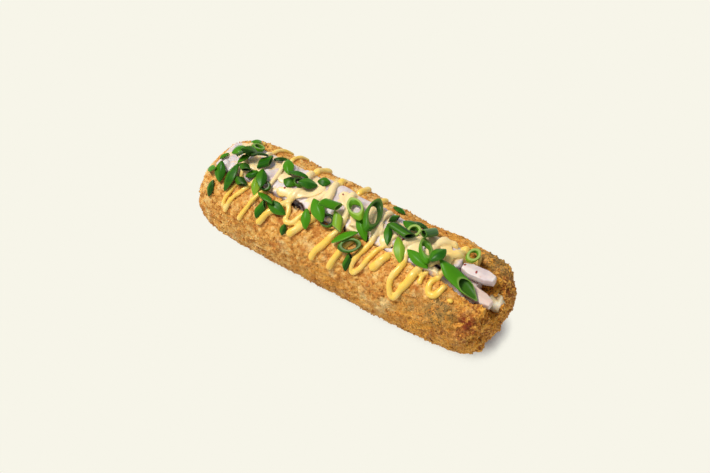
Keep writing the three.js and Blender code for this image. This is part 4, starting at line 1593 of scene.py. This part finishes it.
# %% Green onion forms
def leaf_form(points, long, wide, fold=0.0):
    """Bends a 2 by 2 sheet, as points along, across and up, into an almond with a fold along it."""
    along, across, up = points.T
    outline = LEAF_TIP + (1 - LEAF_TIP) * (1 - np.abs(along) ** LEAF_CURVE[0]) ** LEAF_CURVE[1]
    from_fold = np.abs(across - fold * (1 - across ** 2))
    arch = LEAF_ARCH * wide * (1 - from_fold ** 0.9) * outline
    bend = LEAF_BEND * long * along ** 2
    return np.column_stack([along * long / 2, across * outline * wide / 2, up + arch - bend])


def ring_form(points, long, wide, point=0.0):
    """Stretches a ring of stem, as points across and up it, as an oblique cut does."""
    x, y, z = points.T
    lean = RING_SLANT * math.sqrt((long / wide) ** 2 - 1)
    pointed = 1 - point * (1 - wide / long) * np.abs(2 * x / wide) ** 3
    return np.column_stack([x * long / wide + lean * z, y * pointed, z])


def tube_form(points, long, wide):
    """Lays a ring of stem on its side, flattens it and cuts it obliquely."""
    x, y, z = points.T
    core = stem_height("tube", long, wide)
    return np.column_stack([z - core / 2 + TUBE_SLANT * y, y, -TUBE_FLATNESS * x])


def scoop_form(points, long, wide, mouth_sag=0.0, point=0.0):
    """Lays a ring of stem on its side and cuts it so obliquely that it has a long mouth."""
    x, y, z = points.T
    core = stem_height("scoop", long, wide)
    slant = (long - core) / (SCOOP_FLATNESS * wide)
    height = -SCOOP_FLATNESS * x
    along = z - core / 2 + slant * height
    sunk = mouth_sag * np.maximum(height, 0) * (1 - ease(along, 0, long / 3))
    pointed = 1 - point * ease(np.abs(along), 0.15 * long, 0.5 * long)
    return np.column_stack([along, y * pointed, height - sunk])


FORMS = {"leaf": leaf_form, "ring": ring_form, "tube": tube_form, "scoop": scoop_form}
print("a slice has one of these forms:", ", ".join(FORMS))

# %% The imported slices' corners
STEM_SIDES = 11


def on_stem(angle, radius, height):
    """Points on a stem that stands upright."""
    return np.column_stack([(radius * np.sin(angle)).ravel(), (-radius * np.cos(angle)).ravel(),
                            height.ravel()])


def coarse_slice(form, long, wide):
    """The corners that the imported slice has."""
    if form == "leaf":
        along, across, up = np.meshgrid(np.linspace(-1, 1, 6), [-1, 0, 1],
                                        [-LEAF_THICKNESS / 2, LEAF_THICKNESS / 2])
        points = np.column_stack([along.ravel(), across.ravel(), up.ravel()])
    else:
        angle, radius, height = np.meshgrid(2 * np.pi * np.arange(STEM_SIDES) / STEM_SIDES,
                                            [wide / 2 - WALLS[form], wide / 2],
                                            [0, stem_height(form, long, wide)])
        points = on_stem(angle, radius, height)
    return FORMS[form](points, long, wide)


print("a packed ring has", len(coarse_slice("ring", 8, 7)), "corners")

# %% The fine slices
# How many points a fine slice has along it or around the stem, and how many around its section
LEAF_GRID = (36, 28)
STEM_GRID = (44, 24)

# The powers that round the edges of a leaf's section and of a wall's: a high one is nearly a box
LEAF_EDGE = 6
WALL_EDGE = 5

# How much of the pale cut shows along a leaf's rim
LEAF_RIM = 0.4


def rounded_section(half_width, half_height, count, power):
    """A rounded box outline, as two coordinates."""
    angle = np.linspace(0, 2 * np.pi, count, endpoint=False)
    c, s = np.cos(angle), np.sin(angle)
    reach = (np.abs(c) ** power + np.abs(s) ** power) ** (-1 / power)
    return half_width * reach * c, half_height * reach * s


def fine_leaf(long, wide, fold):
    """Points and faces of a leaf, and for each point how much it is inside and on the cut."""
    count, around = LEAF_GRID
    across, up = rounded_section(1, LEAF_THICKNESS / 2, around, LEAF_EDGE)
    stations = np.sin(np.linspace(-0.5, 0.5, count) * np.pi)
    points = np.column_stack([np.repeat(stations, around), np.tile(across, count), np.tile(up, count)])
    inside = ease(-points[:, 2], -0.1, 0.1)
    edge = np.maximum(np.abs(points[:, 1]), np.abs(points[:, 0]))
    points, faces = skin(points, count, around)
    return leaf_form(points, long, wide, fold), faces, inside, LEAF_RIM * ease(edge, 0.93, 0.99)


def fine_stem(form, long, wide):
    """The same of a ring, a tube or a scoop: a rounded wall, carried around the stem."""
    count, around = STEM_GRID
    high = stem_height(form, long, wide)
    wall = FINE_WALLS[form]
    out, up = rounded_section(wall / 2, high / 2, around, WALL_EDGE)
    angle = np.linspace(0, 2 * np.pi, count, endpoint=False)[:, None]
    radius = wide / 2 - wall / 2 + out[None]
    height = np.broadcast_to(high / 2 + up[None], (count, around))
    inside = np.tile(ease(-out, -0.1, 0.1), count)
    on_cut = np.tile(ease(np.abs(up), 0.9 * high / 2, 0.98 * high / 2), count)
    points, faces = skin(on_stem(angle, radius, height), count, around, closed=True)
    return FORMS[form](points, long, wide, *SQUEEZE.get(form, ())), faces, inside, on_cut


print("a fine ring has", len(fine_stem("ring", 8, 7)[1]), "faces")

# %% [markdown]
# ## The look of green onion
# A green onion is bottle green in its leaves and light green near its root, with a waxy skin, fine
# veins along it, and a paler inside and cut edge. Each slice carries numbers for all of these, so
# one material serves them all. A Voronoi or a wave texture could draw the veins too, but numbers on
# the points follow each slice however it is turned.

# %% Green onion material
# How far along the green onion a slice was cut, from leaf to root, and its green there
TONES = {"bottle": 0.0, "deep": 0.33, "fresh": 0.66, "pale": 1.0}
GREENS = {"bottle": "#052404", "deep": "#145004", "fresh": "#428406", "pale": "#94B430"}


def onion_material():
    """Fresh green onion: waxy skin from bottle green to light green, a paler inside and cut edge,
    painted shade in the hollow, and one side painted lighter, as if lit.
    """
    material, tree, shader, _ = new_material("green_onion")
    tone = add(tree, "ShaderNodeAttribute", attribute_name="tone")
    ramp = add(tree, "ShaderNodeValToRGB", {"Fac": tone.outputs["Fac"]})
    stops = ramp.color_ramp.elements
    stops[0].color, stops[1].color = linear(GREENS["bottle"]), linear(GREENS["pale"])
    for name in ("deep", "fresh"):
        stops.new(TONES[name]).color = linear(GREENS[name])
    paint(tree, shader, ramp, [
        # the streaks, and one side of the fold painted lighter, as if lit
        ("#4A8A0A", "veined_and_lit_side"),
        ("#5E9420", "inside"),
        # painted shade inside the stem and under the leaves, deeper on darker slices
        ("#08280A", "hollow"),
        ("#A9BE66", "on_cut"),
    ])
    finish_of(shader, Roughness=0.36, Specular_IOR_Level=0.2, Subsurface_Weight=0.05,
              Subsurface_Radius=(0.3, 1.0, 0.2), Subsurface_Scale=1.0 * MM)
    return material


onion = onion_material()
print("a green onion has", len(GREENS), "greens")

# %% The list of slices
# Each slice's form, its turn from X in degrees, its length, its width and its tone
SLICES = [
    ("leaf", 343, 10.3, 4.5, "fresh"),
    ("leaf", 116, 12.2, 7, "deep"),
    ("leaf", 97, 10, 5, "bottle"),
    ("leaf", 90, 17.6, 9, "deep"),
    ("tube", 144, 8.4, 5.5, "bottle"),
    ("tube", 148, 9.7, 5.5, "bottle"),
    ("leaf", 39, 8.3, 4.5, "deep"),
    ("leaf", 92, 14.1, 4, "fresh"),
    ("leaf", 85, 8, 3, "fresh"),
    ("leaf", 50, 8.7, 8, "fresh"),
    ("leaf", 78, 13.3, 6, "bottle"),
    ("leaf", 65, 14.7, 6, "bottle"),
    ("ring", 36, 7.6, 7, "fresh"),
    ("leaf", 79, 9.3, 5, "fresh"),
    ("leaf", 40, 10, 5, "bottle"),
    ("tube", 49, 11.7, 7, "deep"),
    ("leaf", 36, 8.8, 4, "bottle"),
    ("leaf", 119, 13, 6.5, "deep"),
    ("leaf", 113, 12.6, 5.5, "pale"),
    ("ring", 193, 6.6, 6, "bottle"),
    ("leaf", 162, 13.6, 5.5, "deep"),
    ("leaf", 172, 13.6, 7, "deep"),
    ("tube", 59, 11.5, 5, "deep"),
    ("leaf", 129, 11.4, 6.5, "fresh"),
    ("leaf", 10, 12.1, 7, "deep"),
    ("leaf", 186, 8.2, 8, "bottle"),
    ("ring", 183, 6.6, 6, "bottle"),
    ("leaf", 39, 11.4, 7.5, "deep"),
    ("leaf", 22, 7.5, 6, "deep"),
    ("leaf", 118, 11.8, 6, "fresh"),
    ("leaf", 143, 15.3, 8, "fresh"),
    ("tube", 25, 14.6, 7, "fresh"),
    ("ring", 185, 9.3, 8, "bottle"),
    ("tube", 116, 12.8, 5.5, "pale"),
    ("leaf", 36, 16.7, 8, "fresh"),
    ("ring", 30, 13.6, 8, "deep"),
    ("ring", 139, 18.4, 9, "pale"),
    ("leaf", 141, 16.2, 6, "fresh"),
    ("ring", 106, 21.7, 10, "deep"),
    ("tube", 74, 11, 4.5, "bottle"),
    ("leaf", 97, 7, 4, "bottle"),
    ("leaf", 355, 8.1, 5.5, "deep"),
    ("tube", 38, 7.6, 5, "bottle"),
    ("leaf", 119, 13.8, 5, "deep"),
    ("tube", 170, 17.2, 6, "bottle"),
    ("leaf", 169, 12, 6.5, "deep"),
    ("leaf", 354, 12.4, 6, "bottle"),
    ("tube", 81, 18, 7, "deep"),
    ("leaf", 127, 15.5, 6.5, "pale"),
    ("leaf", 165, 16.6, 6.5, "fresh"),
    ("ring", 129, 16.9, 8, "fresh"),
    ("leaf", 74, 11.8, 8.5, "deep"),
    ("scoop", 171, 31.8, 10, "fresh"),
    ("ring", 74, 9.3, 7, "pale"),
    ("ring", 50, 8.4, 7, "pale"),
]
print("there are", len(SLICES), "slices")

# %% The numbers that each slice carries
# How light the inside of the scoop is, whose mouth lies in its own shade
DEEP_MOUTH = 0.45

# How pale a cut edge is on the darkest slice, and how much paler on the lightest
CUT_LEAST = 0.08
CUT_EXTRA = 0.7

# Two rates of streaks across a slice, in radians for each mm, and how much they slant along it.
# Real veins are about 0.3 mm apart, too fine to show, so the finer rate is about twice as coarse.
COARSE_STREAKS = 4.1
FINE_STREAKS = 9.7
STREAK_SLANT = 0.35

# How light the skin is at least, how much the streaks change it, and how much lighter one side is
# painted, as if lit
SKIN_LEAST = 0.2
SKIN_STREAKS = 0.15
PAINTED_LIT_SIDE = 0.35


def veins_and_lit_side(points):
    """Fine streaks along a slice and one side painted lighter, as if lit, from 0 to 0.7."""
    along, across = points[:, 0], points[:, 1]
    coarse = np.sin(COARSE_STREAKS * across + STREAK_SLANT * along)
    streak = coarse * np.sin(FINE_STREAKS * across + 1.3)
    return SKIN_LEAST + SKIN_STREAKS * streak + PAINTED_LIT_SIDE * ease(across, -0.4, 0.4)


def mark_slice(mesh, points, form, tone, inside, on_cut):
    """Gives a slice's mesh the numbers that the material reads."""
    lit = DEEP_MOUTH if form == "scoop" else tone
    put_values(mesh, "inside", inside * lit)
    # painted shade in the hollow: the darker the slice, the darker its inside
    put_values(mesh, "hollow", inside * (1 - lit))
    put_values(mesh, "on_cut", on_cut * (CUT_LEAST + CUT_EXTRA * tone ** 2))
    # the streaks, and one side painted lighter, as if lit
    put_values(mesh, "veined_and_lit_side", veins_and_lit_side(points))
    put_values(mesh, "tone", np.full(len(points), tone))


print("the streaks are", round(2 * math.pi / FINE_STREAKS, 2), "mm apart at their finest")

# %% Green onion slices
# How far a leaf's fold lies from its middle at most, as a share of its half width, and how fast that
# changes from one slice to the next, in radians
MOST_FOLD = 0.2
FOLD_STEP = 2.4


def make_slices():
    """Lays each fine slice exactly over its packed one."""
    worst = 0
    for number, (form, turn, long, wide, tone) in enumerate(SLICES, 1):
        node = f"scallion_{number:02d}"
        rotation, shift, error = placed(coarse_slice(form, long, wide), node, turn)
        worst = max(worst, error)
        if form == "leaf":
            fold = MOST_FOLD * math.sin(FOLD_STEP * number)
            points, faces, inside, on_cut = fine_leaf(long, wide, fold)
        else:
            points, faces, inside, on_cut = fine_stem(form, long, wide)
        piece = new_object(f"green_onion_{number:02d}", points @ rotation.T + shift, faces, onion)
        mark_slice(piece.data, points, form, TONES[tone], inside, on_cut)
        show(piece, "green_onion", node)
    print(f"the slices lie within {worst:.2f} mm of the packed ones")


make_slices()

# %% [markdown]
# ## Chilli flecks
# A few dark red flakes, 1.7 mm long, lie on the chicken and the sauce. Six of them need no node tree:
# each is a flattened ball with uneven corners. A ray is cast straight down at its place, and the
# flake is laid flat on what the ray meets.

# %% Dried chilli material
def chilli_material():
    """Dried chilli, crushed: dark red skin with browner patches, and only a little gloss."""
    material, tree, shader, place = new_material("dried_chilli")
    paint(tree, shader, "#A8261C", [("#6E1410", patches(tree, place, 0.7, 0.45, 0.6))])
    finish_of(shader, Roughness=0.4)
    return material


chilli = chilli_material()
print("the chilli material has", len(chilli.node_tree.nodes), "nodes")

# %% Chilli flecks
# Each flake's place, as X and Y in mm
FLECK_PLACES = [(-43, -8), (-40, 3), (-12, 5), (33, -3), (70, 3), (78, 2)]
FLECK_SIZE = np.array([1.7, 1.1, 0.35])
FLECK_UNEVENNESS = 0.25


def make_flecks():
    """Lays the flakes on what is below them, as one piece."""
    ground = merged("ground", filling, drizzle, bpy.data.objects["strip_1"])
    surface = BVHTree.FromObject(ground, bpy.context.evaluated_depsgraph_get())
    flakes = []
    for number, (x, y) in enumerate(FLECK_PLACES):
        spot, normal, _, _ = surface.ray_cast(Vector((x, y, ABOVE_ALL)) * MM, Vector((0, 0, -1)))
        turn = np.array(normal.to_track_quat("Z", "Y").to_matrix() @ Matrix.Rotation(number, 3, "Z"))
        points, faces = blob_shell((0, 0, 0), FLECK_SIZE / 2, 2)
        corner = 1 + FLECK_UNEVENNESS * uneven(np.arange(len(points)), number)
        points = (points * corner[:, None]) @ turn.T + np.array(spot) / MM
        flakes.append(new_object("flake", points, faces))
    flecks = merged("chilli_flecks", *flakes)
    for piece in (ground, *flakes):
        bpy.data.objects.remove(piece)
    flecks.data.materials.append(chilli)
    show(flecks, "sauce")


make_flecks()
